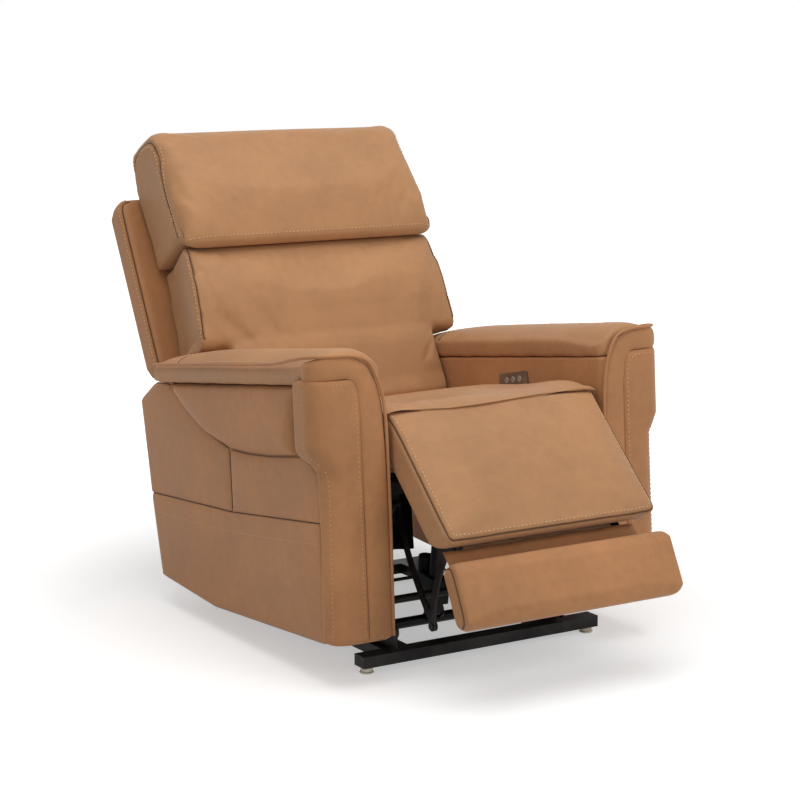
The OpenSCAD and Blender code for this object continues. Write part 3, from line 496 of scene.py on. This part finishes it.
def curved(line, step=0.004):
    """A smooth line through the given points (Catmull-Rom)."""
    rows = [Vector(p) for p in line]
    rows = [rows[0] * 2 - rows[1], *rows, rows[-1] * 2 - rows[-2]]
    out = []
    for a, b, c, d in zip(rows, rows[1:], rows[2:], rows[3:]):
        for t in np.linspace(0, 1, 12, endpoint=False):
            square, cube = 2 * a - 5 * b + 4 * c - d, 3 * b - a - 3 * c + d
            out.append(0.5 * (2 * b + (c - a) * t + square * t * t + cube * t ** 3))
    out.append(rows[-2])
    return even(out, step)


def smoothed(line, rounds=4):
    """The same line with its small kinks averaged out; its ends stay."""
    rows = np.array([list(p) for p in line], float)
    for _ in range(rounds):
        rows[1:-1] = (rows[:-2] + 2 * rows[1:-1] + rows[2:]) / 4
    return rows


def laid(piece, line, step=0.004):
    """The line's points on the piece's skin, with the skin's normals there."""
    mesh = piece.data
    skin = BVHTree.FromPolygons([v.co for v in mesh.vertices], [tuple(p.vertices) for p in mesh.polygons])
    found = [skin.find_nearest(Vector(p)) for p in even(line, step)]
    spots = smoothed([hit[0] for hit in found], 6)
    return [(Vector(spot), hit[1]) for spot, hit in zip(spots, found)]


def sewn_in(piece, lines, depth=1.8, width=5.0, shade_core=2.6):
    """Pulls seams into a cushion: a soft valley along each line, with painted shade at its bottom."""
    rows = coordinates(piece.data)
    spots = [p for line in lines for p, _ in laid(piece, line, 0.002)]
    tree = KDTree(len(spots))
    for i, spot in enumerate(spots):
        tree.insert(spot, i)
    tree.balance()
    reach = 0.03
    low = np.min([list(p) for p in spots], 0) - reach
    high = np.max([list(p) for p in spots], 0) + reach
    near = np.nonzero(np.all((rows > low) & (rows < high), 1))[0]
    apart = np.full(len(rows), 1.0)
    for i in near:
        apart[i] = tree.find(rows[i])[2]
    swell(piece, -depth * np.exp(-(apart / (width * MM)) ** 2))
    # Painted shade: the seam attribute is 1 on each seam line and fades within a few millimetres, and the
    # hide's colour darkens with it.
    mesh = piece.data
    shade_mark = mesh.attributes.get("seam") or mesh.attributes.new("seam", "FLOAT", "POINT")
    before = np.empty(len(rows), np.float32)
    shade_mark.data.foreach_get("value", before)
    after = np.maximum(before, np.exp(-(apart / (shade_core * MM)) ** 2))
    shade_mark.data.foreach_set("value", after.astype(np.float32))


def tube(name, lines, radius, material, turns=8):
    """Round cord along each line, closed at both ends."""
    parts = bmesh.new()
    for line in lines:
        path = bpy.data.curves.new(name, "CURVE")
        path.dimensions = "3D"
        path.bevel_depth = radius
        path.bevel_resolution = turns // 4
        path.use_fill_caps = True
        spline = path.splines.new("POLY")
        spline.points.add(len(line) - 1)
        for point, p in zip(spline.points, line):
            point.co = (*p, 1)
        holder = bpy.data.objects.new(name, path)
        scene.collection.objects.link(holder)
        mesh = bpy.data.meshes.new_from_object(holder.evaluated_get(bpy.context.evaluated_depsgraph_get()))
        parts.from_mesh(mesh)
        bpy.data.objects.remove(holder)
        bpy.data.meshes.remove(mesh)
    bmesh.ops.remove_doubles(parts, verts=parts.verts, dist=1e-6)
    bmesh.ops.recalc_face_normals(parts, faces=parts.faces)
    return new_piece(name, parts, material)


def shade_cord(name, piece, lines, body, radius=0.0011):
    """Painted shadow: a dark thin cord at the bottom of each seam, where the seam's shadow falls."""
    folds_and_shade_cords = tube(name, [[p for p, _ in laid(piece, line, 0.004)] for line in lines], radius, seam_shadow, 4)
    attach(folds_and_shade_cords, body)


def stitched(name, piece, lines, body, pitch=9.2, long=6.4, thick=1.05, lift=0.55, aside=0.0):
    """Thread stitches standing on the skin along each line; aside moves the row sideways. Millimetres."""
    rows = bmesh.new()
    for line in lines:
        marks = laid(piece, line, 0.002)
        if aside:
            shifted = []
            for i, (spot, up) in enumerate(marks):
                ahead = marks[min(i + 3, len(marks) - 1)][0] - marks[max(i - 3, 0)][0]
                shifted.append(spot + ahead.cross(up).normalized() * aside * MM)
            marks = laid(piece, shifted, 0.002)
        gone = 0.0
        for (spot, up), (later, _) in zip(marks, marks[1:]):
            step = (later - spot).length
            gone += step
            if gone < pitch * MM or step < 1e-6:
                continue
            gone = 0.0
            ahead = (later - spot).normalized()
            across = up.cross(ahead).normalized()
            up = ahead.cross(across)
            turn = Matrix((ahead, across, up)).transposed().to_4x4()
            size = Matrix.Diagonal((long * MM / 2, thick * MM, thick * MM * 0.8, 1))
            place = Matrix.Translation(spot + up * lift * MM) @ turn @ size
            bmesh.ops.create_icosphere(rows, subdivisions=1, radius=1, matrix=place)
    stitches = new_piece(name, rows, thread)
    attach(stitches, body)


def cushion(piece, body, fill, *nodes):
    """Attaches a finished cushion to what it moves with and hides the CAD nodes it stands for; fill is not
    used.
    """
    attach(piece, body)
    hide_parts(*nodes)


def bump(value, centre, reach):
    """A smooth hill of height 1 at centre."""
    return np.exp(-((value - centre) / reach) ** 2)


def ramp(value, zero, one):
    """0 on one side of zero, 1 beyond one, and straight between them."""
    return np.clip((value - zero) / (one - zero), 0, 1)


def rounded_ends(piece, place, start, radius, share):
    """Rounds both ends of a cushion, from x = start outwards; share(y, z) is the part of radius used."""
    own = points_of(piece, place).T
    out = normals(piece.data) @ np.array(place)[:3, :3]
    across = np.abs(own[:, 0])
    tree = KDTree(len(own))
    for i in np.nonzero(across < start - 30)[0][::2]:
        tree.insert((0, own[i, 1], own[i, 2]), int(i))
    tree.balance()
    turn = ramp(across, start, across.max())
    pull = radius * (1 - np.sqrt(1 - turn ** 2)) * share(own[:, 1], own[:, 2])
    for i in np.nonzero(pull > 0.05)[0]:
        _, near, gap = tree.find((0, own[i, 1], own[i, 2]))
        inward = out[near, 1:] / max(np.linalg.norm(out[near, 1:]), 0.1)
        own[i, 1:] -= inward * pull[i] * max(0.0, 1 - gap / (radius * 1.7))
    put_points(piece, place, *own.T)
    eased(piece, 8)


seat = foam_block("seat_cushion_hide", "seat_cushion", 0.0075, tan, seated)
stuffed(seat, seated, lambda x, y, z: np.where(
    z > 500, 9 * ramp(abs(x), 276, 216) ** 0.7 * ramp(y, -80, -20) * ramp(y, 560, 500), 0))
x, y, z = points_of(seat, seated)
lobes = (8 * bump(x, 222, 62) * bump(y, -15, 85) + 6 * bump(x, 95, 70) * bump(y, 110, 120)
         - 15 * bump(x, 10, 200) * bump(y, 60, 210) - 13 * bump(x, -95, 110) * bump(y, 100, 170)
         - 5 * bump(x, 165, 40) * bump(y, 110, 120)
         + 2.0 * np.sin(x / 38 + y / 90) * bump(y, 330, 120))
swell(seat, ramp(z, 508, 538) * ramp(abs(x), 279, 267) * lobes)
x, y, z = points_of(seat, seated)
lip_y, lip_z = -66, 513
lip = ramp(y, -50, -80) * np.clip(1.2 - (x / 276) ** 2, 0, 1) * bump(x, -70, 190) * math.radians(28)
corner = 9 * ramp(abs(x), 225, 275) ** 2 * ramp(y, -30, -70) * ramp(z, 556, 562)
ahead, above = y - lip_y, z - corner - lip_z
put_points(seat, seated, x, ahead * np.cos(lip) - above * np.sin(lip) + lip_y,
           ahead * np.sin(lip) + above * np.cos(lip) + lip_z)
cushion(seat, "chair", 0.75, "seat_cushion")

# ---------------------------------------------------------------- arms
# Each arm is a plywood box under foam and hide: a flat lower body, a padded
# upper side over it, a saddle pad on top, and a front trimmed with a welt.

arm_out, arm_front = 412, -98


def arm_top(y):
    """Height of the arm's top line."""
    return 672 - (y - arm_front) * math.tan(math.radians(3.4))


def fillet(points, radius):
    """A closed outline with each corner rounded."""
    out = []
    for before, at, after in zip(points[-1:] + points[:-1], points, points[1:] + points[:1]):
        a, p, b = (np.array(q, float) for q in (before, at, after))
        one, two = (a - p) / np.linalg.norm(a - p), (b - p) / np.linalg.norm(b - p)
        cut = min(radius, np.linalg.norm(a - p) * 0.45, np.linalg.norm(b - p) * 0.45)
        for t in np.linspace(0, 1, 6):
            out.append(tuple((1 - t) ** 2 * (p + one * cut) + 2 * t * (1 - t) * p + t * t * (p + two * cut)))
    return out


def edge_distance(rows, outline):
    """How far points of a flat panel lie from its edge."""
    a = np.array(outline, float)
    b = np.roll(a, -1, 0)
    d = b - a
    near = np.full(len(rows), 1e9)
    for p, q in zip(a, d):
        t = np.clip(((rows - p) @ q) / max(q @ q, 1e-9), 0, 1)
        near = np.minimum(near, np.linalg.norm(rows - (p + t[:, None] * q), axis=1))
    return near


soft_rings, tight_rings = (1.2, 1.6, 2.4, 3.6), (0.9, 1.2, 1.6)


def panel(name, outline, step, height, lay, material, rings):
    """A padded hide panel: cut flat, filled to height(s, z, edge) and laid where lay(s, z, h) puts it."""
    bm = bmesh.new()
    face = bm.faces.new([bm.verts.new((s, z, 0)) for s, z in outline])
    bm.normal_update()
    if face.normal.z < 0:
        face.normal_flip()
    for gap in rings:
        bmesh.ops.inset_region(bm, faces=[face], thickness=gap, use_even_offset=True, use_boundary=True)
    low, high = np.min(outline, 0), np.max(outline, 0)
    for v in bm.verts:
        v.co.x, v.co.y = min(max(v.co.x, low[0]), high[0]), min(max(v.co.y, low[1]), high[1])
    for axis in (0, 1):
        for cut in np.arange(low[axis] + step, high[axis], step):
            point, normal = [0, 0, 0], [0, 0, 0]
            point[axis], normal[axis] = cut, 1
            bmesh.ops.bisect_plane(bm, geom=bm.verts[:] + bm.edges[:] + bm.faces[:],
                                   plane_co=point, plane_no=normal, dist=0.05)
    bmesh.ops.dissolve_degenerate(bm, dist=0.05, edges=bm.edges)
    raised = bmesh.ops.extrude_face_region(bm, geom=bm.faces[:], use_keep_orig=True)
    top = {v for v in raised["geom"] if isinstance(v, bmesh.types.BMVert)}
    verts = bm.verts[:]
    flat = np.array([v.co for v in verts], float)
    tall = height(flat[:, 0], flat[:, 1], edge_distance(flat[:, :2], outline))
    for v, (s, z, _), h in zip(verts, flat, tall):
        v.co = lay(s, z, float(h) if v in top else -1.0)
    bmesh.ops.recalc_face_normals(bm, faces=bm.faces)
    bmesh.ops.triangulate(bm, faces=[f for f in bm.faces if len(f.verts) > 4])
    return new_piece(name, bm, material)


def puffed(full, reach):
    """Height of a padded panel: a quarter round at its edge, full inside."""
    return lambda s, z, edge: full * np.sqrt(np.clip(1 - (1 - ramp(edge, 0, reach)) ** 2, 0.04, 1))


def side_height(s, z, edge):
    """Height of the arm's padded side, fullest a little below its middle."""
    full = np.interp(z, [440, 459, 478, 508, 545, 590, 640], [1, 7, 20, 25.5, 25.5, 21, 16])
    return full * puffed(1, 26)(s, z, edge) + 1.2 * np.sin(s / 60) * ramp(edge, 0, 60)


def body_height(s, z, edge):
    """Height of the thin padding on the arm's lower body."""
    return puffed(4.0, 8)(s, z, edge) + 2.0 * ramp(edge, 0, 60)


def pocket_height(s, z, edge):
    """Height of the flat side pocket, a little wavy."""
    wave = 1.6 * np.sin(s / 95 + z / 130) * ramp(edge, 0, 90)
    return puffed(5.6, 7)(s, z, edge) + wave + 1.0 * ramp(edge, 0, 60)


side_outline = fillet([(8, arm_top(8) - 46), (26, 475), (150, 463), (250, 459), (335, 461), (430, 486),
                       (520, 530), (609, arm_top(609) - 47)], 10)
band_outline = fillet([(190, 628), (150, 637), (80, 638), (64, 620), (57, 560), (56, 330), (56, 92),
                       (0, 92), (-2, 348), (-1, 483), (4, 573), (14, 620), (36, 662), (76, 684),
                       (120, 688), (168, 676), (190, 670)], 14)
wrap_outline = fillet([(0, 94), (0, 560), (4, 612), (14, 636), (150, 638), (172, 630), (172, 500),
                       (166, 484), (150, 472), (116, 462), (101, 444), (99, 300), (108, 94)], 12)
pocket_outline = fillet([(-58, 90), (446, 90), (709, 124), (744, 300), (743, 315), (336, 317), (-56, 340)], 5)
rear_outline = fillet([(338, 319), (338, 458), (432, 483), (523, 527), (607, 578), (645, 581), (700, 577),
                       (781, 533), (749, 317)], 5)
mid_outline = fillet([(334, 319), (334, 457), (250, 455), (150, 459), (22, 471), (-22, 468), (-50, 450),
                      (-60, 430), (-57, 342)], 5)


def round_corner(side, s, z, h, start=336, full=None):
    """Bends a flat front panel round the outer corner of an arm."""
    full = full or arm_out + 6 + 22 * min(max((z - 452) / 40, 0), 1) ** 0.8
    radius = 38
    flat_end = full - radius - start
    arc = radius * math.pi / 2
    if s < flat_end:
        x, y = start + s, arm_front - h
    elif s < flat_end + arc:
        turn = (s - flat_end) / radius
        x = full - radius + (radius + h) * math.sin(turn)
        y = arm_front + radius - (radius + h) * math.cos(turn)
    else:
        x, y = full + h, arm_front + radius + s - flat_end - arc
    return seated @ (Vector((side * x, y, z)) * MM)


def sewn_panel(name, hand, outline, step, height, lay, fill, nodes=(), rings=soft_rings):
    """A padded panel on an arm, with a dark cord of painted shadow along the seam round it."""
    piece = panel(name + "_" + hand, outline, step, height, lay, tan_shaded, rings)
    cushion(piece, "chair", fill, *nodes)
    rim = [lay(s, z, 0.6) for s, z in outline + outline[:1]]
    # Painted shadow: a dark cord along the panel's seam.
    fold_and_shade_cord = tube(name + "_shade_cord_" + hand, [smoothed(even(rim, 0.004), 5)], 0.0012, seam_shadow, 4)
    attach(fold_and_shade_cord, "chair")
    return piece


for side, hand in ((-1, "left"), (1, "right")):
    def on_arm(*points, side=side):
        """World points on this arm, given in the seated frame as for the right arm."""
        return world_of(seated, *[(side * x, y, z) for x, y, z in points])

    def on_side(s, z, h):
        """A point h above the arm's outer side."""
        return on_arm((arm_out + h, s, z))[0]

    def on_front(s, z, h, side=side):
        """A point h above the arm's front and outer corner."""
        return round_corner(side, s, z, h)

    def on_band(s, z, h, side=side):
        """The same for the border band, which lies wider round the arm."""
        return round_corner(side, s, z, h + 0.3, 280, 438)

    bm = skin_of("arm_" + hand)
    bmesh.ops.dissolve_limit(bm, angle_limit=math.radians(2), verts=bm.verts, edges=bm.edges)
    body = new_piece("arm_body_" + hand, bm, tan_shaded)
    own = points_of(body, seated).T
    low, high = own.min(0), own.max(0)
    rounding = body.modifiers.new("rounding", "BEVEL")
    rounding.width = 0.007
    rounding.segments = 4
    rounding.harden_normals = True
    baked(body)
    put_points(body, seated, *np.clip(points_of(body, seated).T, low, high).T)
    cushion(body, "chair", 0.9, "arm_" + hand)

    sewn_panel("arm_side_hide", hand, side_outline, 11, side_height, on_side, 0.7, ["arm_side_" + hand])
    sewn_panel("arm_rear_hide", hand, rear_outline, 15, body_height, on_side, 0.5, rings=tight_rings)
    sewn_panel("arm_mid_hide", hand, mid_outline, 15, body_height, on_side, 0.5, rings=tight_rings)
    pouch = sewn_panel("side_pocket", hand, pocket_outline, 14, pocket_height, on_side, 0.4,
                       ["pocket_" + hand], tight_rings)
    pouch_top = curved(on_arm((420, -52, 297), (420, 335, 276), (420, 738, 273)))
    stitched("pocket_stitches_" + hand, pouch, [pouch_top], "chair", pitch=7.0, long=4.4, thick=0.6, lift=0.0)

    wrap = sewn_panel("arm_front_wrap", hand, wrap_outline, 7, puffed(6.0, 10), on_front, 0.6,
                      ["arm_front_" + hand])
    wrap_row = [(11, 98), (10, 300), (10, 560), (14, 604), (30, 625), (70, 627), (112, 625), (127, 612),
                (130, 560), (134, 505), (124, 486), (104, 474), (84, 458), (75, 432), (73, 390), (75, 300),
                (78, 98)]
    stitched("arm_front_stitches_" + hand, wrap, [curved([on_front(s, z, 6) for s, z in wrap_row])], "chair")
    sewn_panel("arm_front_band", hand, band_outline, 8, puffed(8.0, 24), on_band, 0.7)

    saddle = foam_block("arm_saddle_" + hand, "arm_top_" + hand, 0.0065, tan, seated, 7)
    stuffed(saddle, seated, lambda x, y, z: np.where(
        (z > arm_top(0) - 40 - y * 0.06) & (abs(abs(x) - 358) < 62), 4, 0), slack=0.0)
    x, y, z = points_of(saddle, seated)
    inner = ramp(abs(x), 342, 278) ** 2 * ramp(z - arm_top(y), -30, 10)
    put_points(saddle, seated, x, y, z - inner * (10 + 16 * ramp(y, 60, -60)))
    saddle_seam = curved(on_arm((282, 560, 632), (330, 566, 655), (380, 562, 655), (430, 556, 640)))
    saddle_edge = curved(on_arm((424, 430, 662), (424, 250, 672), (424, 100, 680), (420, 10, 688),
                                (408, -50, 694)))
    sewn_in(saddle, [saddle_seam], depth=1.6, width=6)
    cushion(saddle, "chair", 0.85, "arm_top_" + hand)
    # Painted shadow: a dark cord along the saddle seam.
    shade_cord("arm_saddle_shade_cord_" + hand, saddle, [saddle_seam], "chair")
    stitched("arm_saddle_stitches_" + hand, saddle, [saddle_seam, saddle_edge], "chair", aside=7)

    welt_line = on_arm((439, 648, 627), (439, 400, 643), (439.5, 120, 660), (440, 50, 667),
                       (440.5, -10, 677), (440, -50, 683), (431, -86, 686), (402, -103, 686),
                       (354, -105, 684), (316, -106, 670), (293, -106, 627), (281.5, -106, 573),
                       (277.5, -105, 483), (276.5, -104, 348), (278, -103, 200), (279, -102, 96))
    welt = tube("arm_welt_" + hand, [curved(welt_line)], 0.0036, tan_shaded)
    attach(welt, "chair")

# ---------------------------------------------------------------- valances and dust cloth
# Boards wrapped in brown lining cloth hide the gap between the arms and the
# steel linkage, and a black dust cloth hangs loosely behind it.

lining, tree, surface = surface_of("brown_lining", {"Sheen Weight": 0.2})
where = node_of(tree, "TexCoord")
warp = node_of(tree, "TexWave", {"Scale": 420}, bands_direction="Y")
weft = node_of(tree, "TexWave", {"Scale": 420}, bands_direction="Z")
weave = node_of(tree, "Math", operation="MAXIMUM")
faded = spread(tree, noise(tree, 12.0), 0, 0.3, 0.7)
cloth_tone = mixed(tree, faded, (0.06, 0.033, 0.02), (0.095, 0.055, 0.034))
relief_on(tree, surface, weave, 0, 0.4, 0.0004)
wire(tree, [((where, "Object"), (warp, 0)), ((where, "Object"), (weft, 0)), ((warp, "Fac"), (weave, 0)),
            ((weft, "Fac"), (weave, 1)), ((cloth_tone, 2), (surface, "Base Color"))])
valance = new_piece("valance_boards", skin_of("seat_valances"), lining)
valance.data.polygons.foreach_set("use_smooth", [False] * len(valance.data.polygons))
rounding = valance.modifiers.new("rounding", "BEVEL")
rounding.width = 0.0022
rounding.segments = 3
baked(valance)
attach(valance, "chair")
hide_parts("seat_valances")

dust, tree, surface = surface_of("black_dust_cloth", {"Specular IOR Level": 0.1})
fuzz = noise(tree, 240.0, 3.0, 0.6)
faded = spread(tree, noise(tree, 11.0), 0, 0.3, 0.7)
shade = mixed(tree, faded, (0.006, 0.005, 0.005), (0.013, 0.011, 0.010))
dull = spread(tree, fuzz, 0, 0, 1, 0.8, 0.95)
relief_on(tree, surface, fuzz, 0, 0.3, 0.0004)
wire(tree, [((shade, 2), (surface, "Base Color")), ((dull, 0), (surface, "Roughness"))])


def sheet(name, columns, rows, form, thickness, place, material, body, upright=False):
    """A thin sheet: form(across, up), each from -0.5 to 0.5, gives its points in millimetres in its frame."""
    bm = bmesh.new()
    bmesh.ops.create_grid(bm, x_segments=columns, y_segments=rows, size=0.5)
    spots = [form(v.co.x, v.co.y) for v in bm.verts]
    if upright:
        turn = Matrix.Rotation(math.radians(90), 3, "X")
        bmesh.ops.rotate(bm, cent=(0, 0, 0), matrix=turn, verts=bm.verts)
    for v, spot in zip(bm.verts, spots):
        v.co = [value * MM for value in spot]
    bmesh.ops.solidify(bm, geom=bm.faces[:], thickness=thickness)
    bmesh.ops.transform(bm, matrix=place, verts=bm.verts)
    bmesh.ops.recalc_face_normals(bm, faces=bm.faces)
    piece = new_piece(name, bm, material)
    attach(piece, body)


def hanging(across, up):
    """The dust cloth hangs from its upper edge, with folds that grow towards its foot."""
    down = 0.5 - up
    fold_and_shade_cord = 5 * math.sin(across * 23) + 3 * math.sin(across * 51 + 1)
    return across * 384, 572 + fold_and_shade_cord * down - 6 * down, 332 - down * (205 - 8 * math.cos(across * math.pi))


sheet("rear_dust_cloth", 48, 16, hanging, 0.0012, seated, dust, "chair")

# ---------------------------------------------------------------- control plate
# A pewter plate let into the inner side of the right arm, with three plain
# push buttons that have a hollow in each cap.

coat_nodes(finish_of("pewter_plate", (0.21, 0.18, 0.155), (0.4, 0.36, 0.32), 0.26, metal=0.75),
           "control_plate")
coat_nodes(finish_of("button_cap", (0.36, 0.335, 0.31), (0.55, 0.52, 0.5), 0.24, metal=0.3),
           "button_recline", "button_head", "button_lift")

# ---------------------------------------------------------------- back shell
# The outer back: a hide cover pulled over a wooden shell, seamed along its
# front border and its rear edges, with two long seams down the rear.

shell = foam_block("back_shell_hide", "back_shell", 0.0095, tan_shaded, leaned)
refined(shell)
border = [curved(world_of(leaned, (s * 376, 50, 262), (s * 376, 50, 480), (s * 375, 50, 668),
                          (s * 366, 50, 692), (s * 348, 50, 701))) for s in (-1, 1)]
rear_edge = [curved(world_of(leaned, (-374, 118, 262), (-374, 118, 500), (-370, 114, 672), (-352, 108, 696),
                             (0, 108, 697), (352, 108, 696), (370, 114, 672), (374, 118, 500),
                             (374, 118, 262)))]
panels_behind = [curved(world_of(leaned, (s * 210, 120, 262), (s * 210, 120, 480), (s * 210, 118, 690)))
                 for s in (-1, 1)]
sewn_in(shell, border + rear_edge + panels_behind, depth=2.2, width=7, shade_core=2.4)
cushion(shell, "back", 0.8, "back_shell")
# Painted shadow: dark cords along the shell's seams.
shade_cord("shell_shade_cords", shell, border + rear_edge + panels_behind, "back")
stitched("shell_border_stitches", shell, [border[0]], "back", aside=-11)
stitched("shell_border_stitches_right", shell, [border[1]], "back", aside=11)
stitched("shell_rear_stitches", shell, rear_edge, "back", aside=-9)

# ---------------------------------------------------------------- back cushion
# Fibre-filled lumbar cushion: a front hide with boxed sides, full at its
# flanks, and folded a little where it is pulled in over the seat. A lining
# flap below it closes the gap behind the seat when the back leans.

front_v, crease_u = -143, 500
back = foam_block("back_cushion_hide", "back_cushion", 0.0075, tan, leaned)
stuffed(back, leaned, lambda x, y, z: np.where(
    y < 20, 15 * ramp(z, crease_u - 4, crease_u - 74) ** 0.6 * ramp(z, 150, 240)
    * ramp(abs(x), 326, 266) ** 0.6, 0), slack=0.012)
x, y, z = points_of(back, leaned)
folds_and_shade_cords = (-4.2 * bump(x * 0.9 + z * 0.5, -12, 17) * bump(z, 292, 50)
         - 3.4 * bump(x * 0.7 + z * 0.72, 26, 14) * bump(z, 285, 40)
         + 4.0 * bump(x, 60, 150) * bump(z, 360, 90))
swell(back, ramp(y, -60, -100) * folds_and_shade_cords)
x, y, z = points_of(back, leaned)
waist = ramp(y, -120, 0) * ramp(z, 262, 282) * (abs(x) > 200)
drop = 20 * ramp(z, 310, 240) * ramp(y, -60, -100)
put_points(back, leaned, x - np.sign(x) * waist * 26, y, z - drop)
edges = [curved(world_of(leaned, (s * 329, front_v + 4, 496), (s * 331, front_v - 4, 470),
                         (s * 336, front_v - 12, 400), (s * 341, front_v - 12, 340),
                         (s * 343, front_v - 6, 264))) for s in (-1, 1)]
sewn_in(back, edges, depth=2.6, width=6)
cushion(back, "back", 0.8, "back_cushion")
# Painted shadow: dark cords along the cushion's side seams.
shade_cord("back_shade_cords", back, edges, "back")
for s, hand, line in zip((-1, 1), ("left", "right"), edges):
    stitched("back_stitches_" + hand, back, [line], "back", aside=-10 * s)

tuck_arc = [math.radians(angle) for angle in range(45, 81, 5)]
tuck = even([(0, 20, 94), (0, -55, 94)] + [(0, -128 * math.sin(a), 128 * math.cos(a)) for a in tuck_arc], 9)


def tucked(across, up):
    """The lining flap runs forward under the cushion, then down round the recline hinge."""
    _, y, z = tuck[round((up + 0.5) * (len(tuck) - 1))]
    return across * 536, y, z + 1.2 * math.sin(across * 31)


sheet("back_tuck_flap", 40, len(tuck) - 1, tucked, 0.0018, leaned, lining, "back")

# ---------------------------------------------------------------- head pillow
# The powered head pillow rolls over the top of the back. Its front panel is
# top-stitched on both sides of each end seam, and once along its lower edge.

pillow = foam_block("head_pillow_hide", "head_pillow", 0.0075, tan, leaned)
stuffed(pillow, leaned, lambda x, y, z: np.where(
    y < 30, (5 + 8 * bump(z, 630, 90)) * ramp(abs(x), 336, 296) ** 0.7 * ramp(z, 526, 576)
    * ramp(y, 40, -20), 0), slack=0.008)
x, y, z = points_of(pillow, leaned)
waist = ramp(y, -150, 40) * (abs(x) > 250)
x = x - np.sign(x) * waist * 14 * ramp(z, 780, 580)
z = z - 24 * ramp(y, -112, -152) * ramp(z, 590, 520)
put_points(pillow, leaned, x, y, z + 10 * ramp(z, 680, 760))
rounded_ends(pillow, leaned, 298, 44, lambda y, z: (
    np.interp(y, [-100, 20], [1, 0.25]) * np.interp(z, [490, 540, 730, 790], [0.6, 1, 1, 0.7])))
ends = [curved(world_of(leaned, (s * 344, -132, 522), (s * 346, -126, 560), (s * 347, -117, 620),
                        (s * 347, -121, 695), (s * 345, -127, 735), (s * 343, -108, 777),
                        (s * 340, -60, 789), (s * 336, -10, 777), (s * 333, 12, 756))) for s in (-1, 1)]
lower = curved(world_of(leaned, (-334, -160, 504), (-290, -180, 502), (-150, -184, 501), (0, -184, 501),
                        (150, -184, 501), (290, -180, 502), (334, -160, 504)))
sewn_in(pillow, ends, depth=1.8, width=4.5, shade_core=2.0)
cushion(pillow, "head", 0.85, "head_pillow")
# Painted shadow: dark cords along the pillow's end seams.
shade_cord("pillow_shade_cords", pillow, ends, "head", 0.0009)
for hand, line in zip(("left", "right"), ends):
    stitched("pillow_stitches_inner_" + hand, pillow, [line], "head", aside=10)
    stitched("pillow_stitches_outer_" + hand, pillow, [line], "head", aside=-10)
stitched("pillow_stitches_lower", pillow, [lower], "head")

# ---------------------------------------------------------------- legrest pad
# The calf pad rolls out from under the seat on its own hinge. Its front
# panel is boxed, seamed at both sides and the foot, and top-stitched, and a
# narrow hide flap hangs behind its foot.

calf = foam_block("legrest_hide", "legrest_pad", 0.0065, tan, hung)
stuffed(calf, hung, lambda x, y, z: np.where(
    y < 0, 12 * ramp(abs(x), 258, 188) ** 0.7 * ramp(z, -306, -216) ** 0.7
    * ramp(z, -16, -76), 0), slack=0.008)
x, y, z = points_of(calf, hung)
z = z + ramp(z, -226, -296) * 0.46 * np.clip(y + 40, 0, 80)
full = np.interp(z, [-312, -275, -160, -50, -15, 8, 25], [0, 6, 14, 13, 14, 12, 4])
crown = full * (1 - ramp(abs(x), 0, 262) ** 4)
put_points(calf, hung, x, y - crown * ramp(y, -8, -32), z)
calf_seam = [curved(world_of(hung, (-261, -30, 28), (-261, -42, -20), (-261, -44, -150), (-260, -43, -280),
                             (-252, -41, -302), (-230, -40, -308), (0, -40, -309), (230, -40, -308),
                             (252, -41, -302), (260, -43, -280), (261, -44, -150), (261, -42, -20),
                             (261, -30, 28)))]
sewn_in(calf, calf_seam, depth=2.0, width=5)
cushion(calf, "legrest", 0.8, "legrest_pad")
# Painted shadow: a dark cord along the pad's seam.
shade_cord("legrest_shade_cord", calf, calf_seam, "legrest")
stitched("legrest_stitches", calf, calf_seam, "legrest", aside=-11)


def flapped(across, up):
    """The narrow flap hangs behind the pad's foot, a little wavy."""
    return across * 480, 25.5 + 1.2 * math.sin(across * 28.8), up * 46 - 310


sheet("legrest_flap", 40, 4, flapped, 0.0022, hung, tan_shaded, "legrest", upright=True)

# ---------------------------------------------------------------- foot pad
# The small foot pad swings out below the calf pad: one hide over firm foam,
# with a boxing seam at each end.

sole = foam_block("foot_pad_hide", "foot_pad", 0.006, tan_shaded, folded)
stuffed(sole, folded, lambda x, y, z: np.where(
    y < -60, 7 * ramp(abs(x), 268, 228) ** 0.7 * ramp(abs(z + 77), 68, 0) ** 0.5, 0), slack=0.008)
sole_seam = [curved(world_of(folded, (s * 270, -50, -10), (s * 271, -70, -26), (s * 271, -72, -80),
                             (s * 271, -70, -126), (s * 270, -50, -142))) for s in (-1, 1)]
sewn_in(sole, sole_seam, depth=1.6, width=4.5)
cushion(sole, "foot", 0.8, "foot_pad")
# Painted shadow: dark cords along the foot pad's end seams.
shade_cord("foot_shade_cords", sole, sole_seam, "foot")
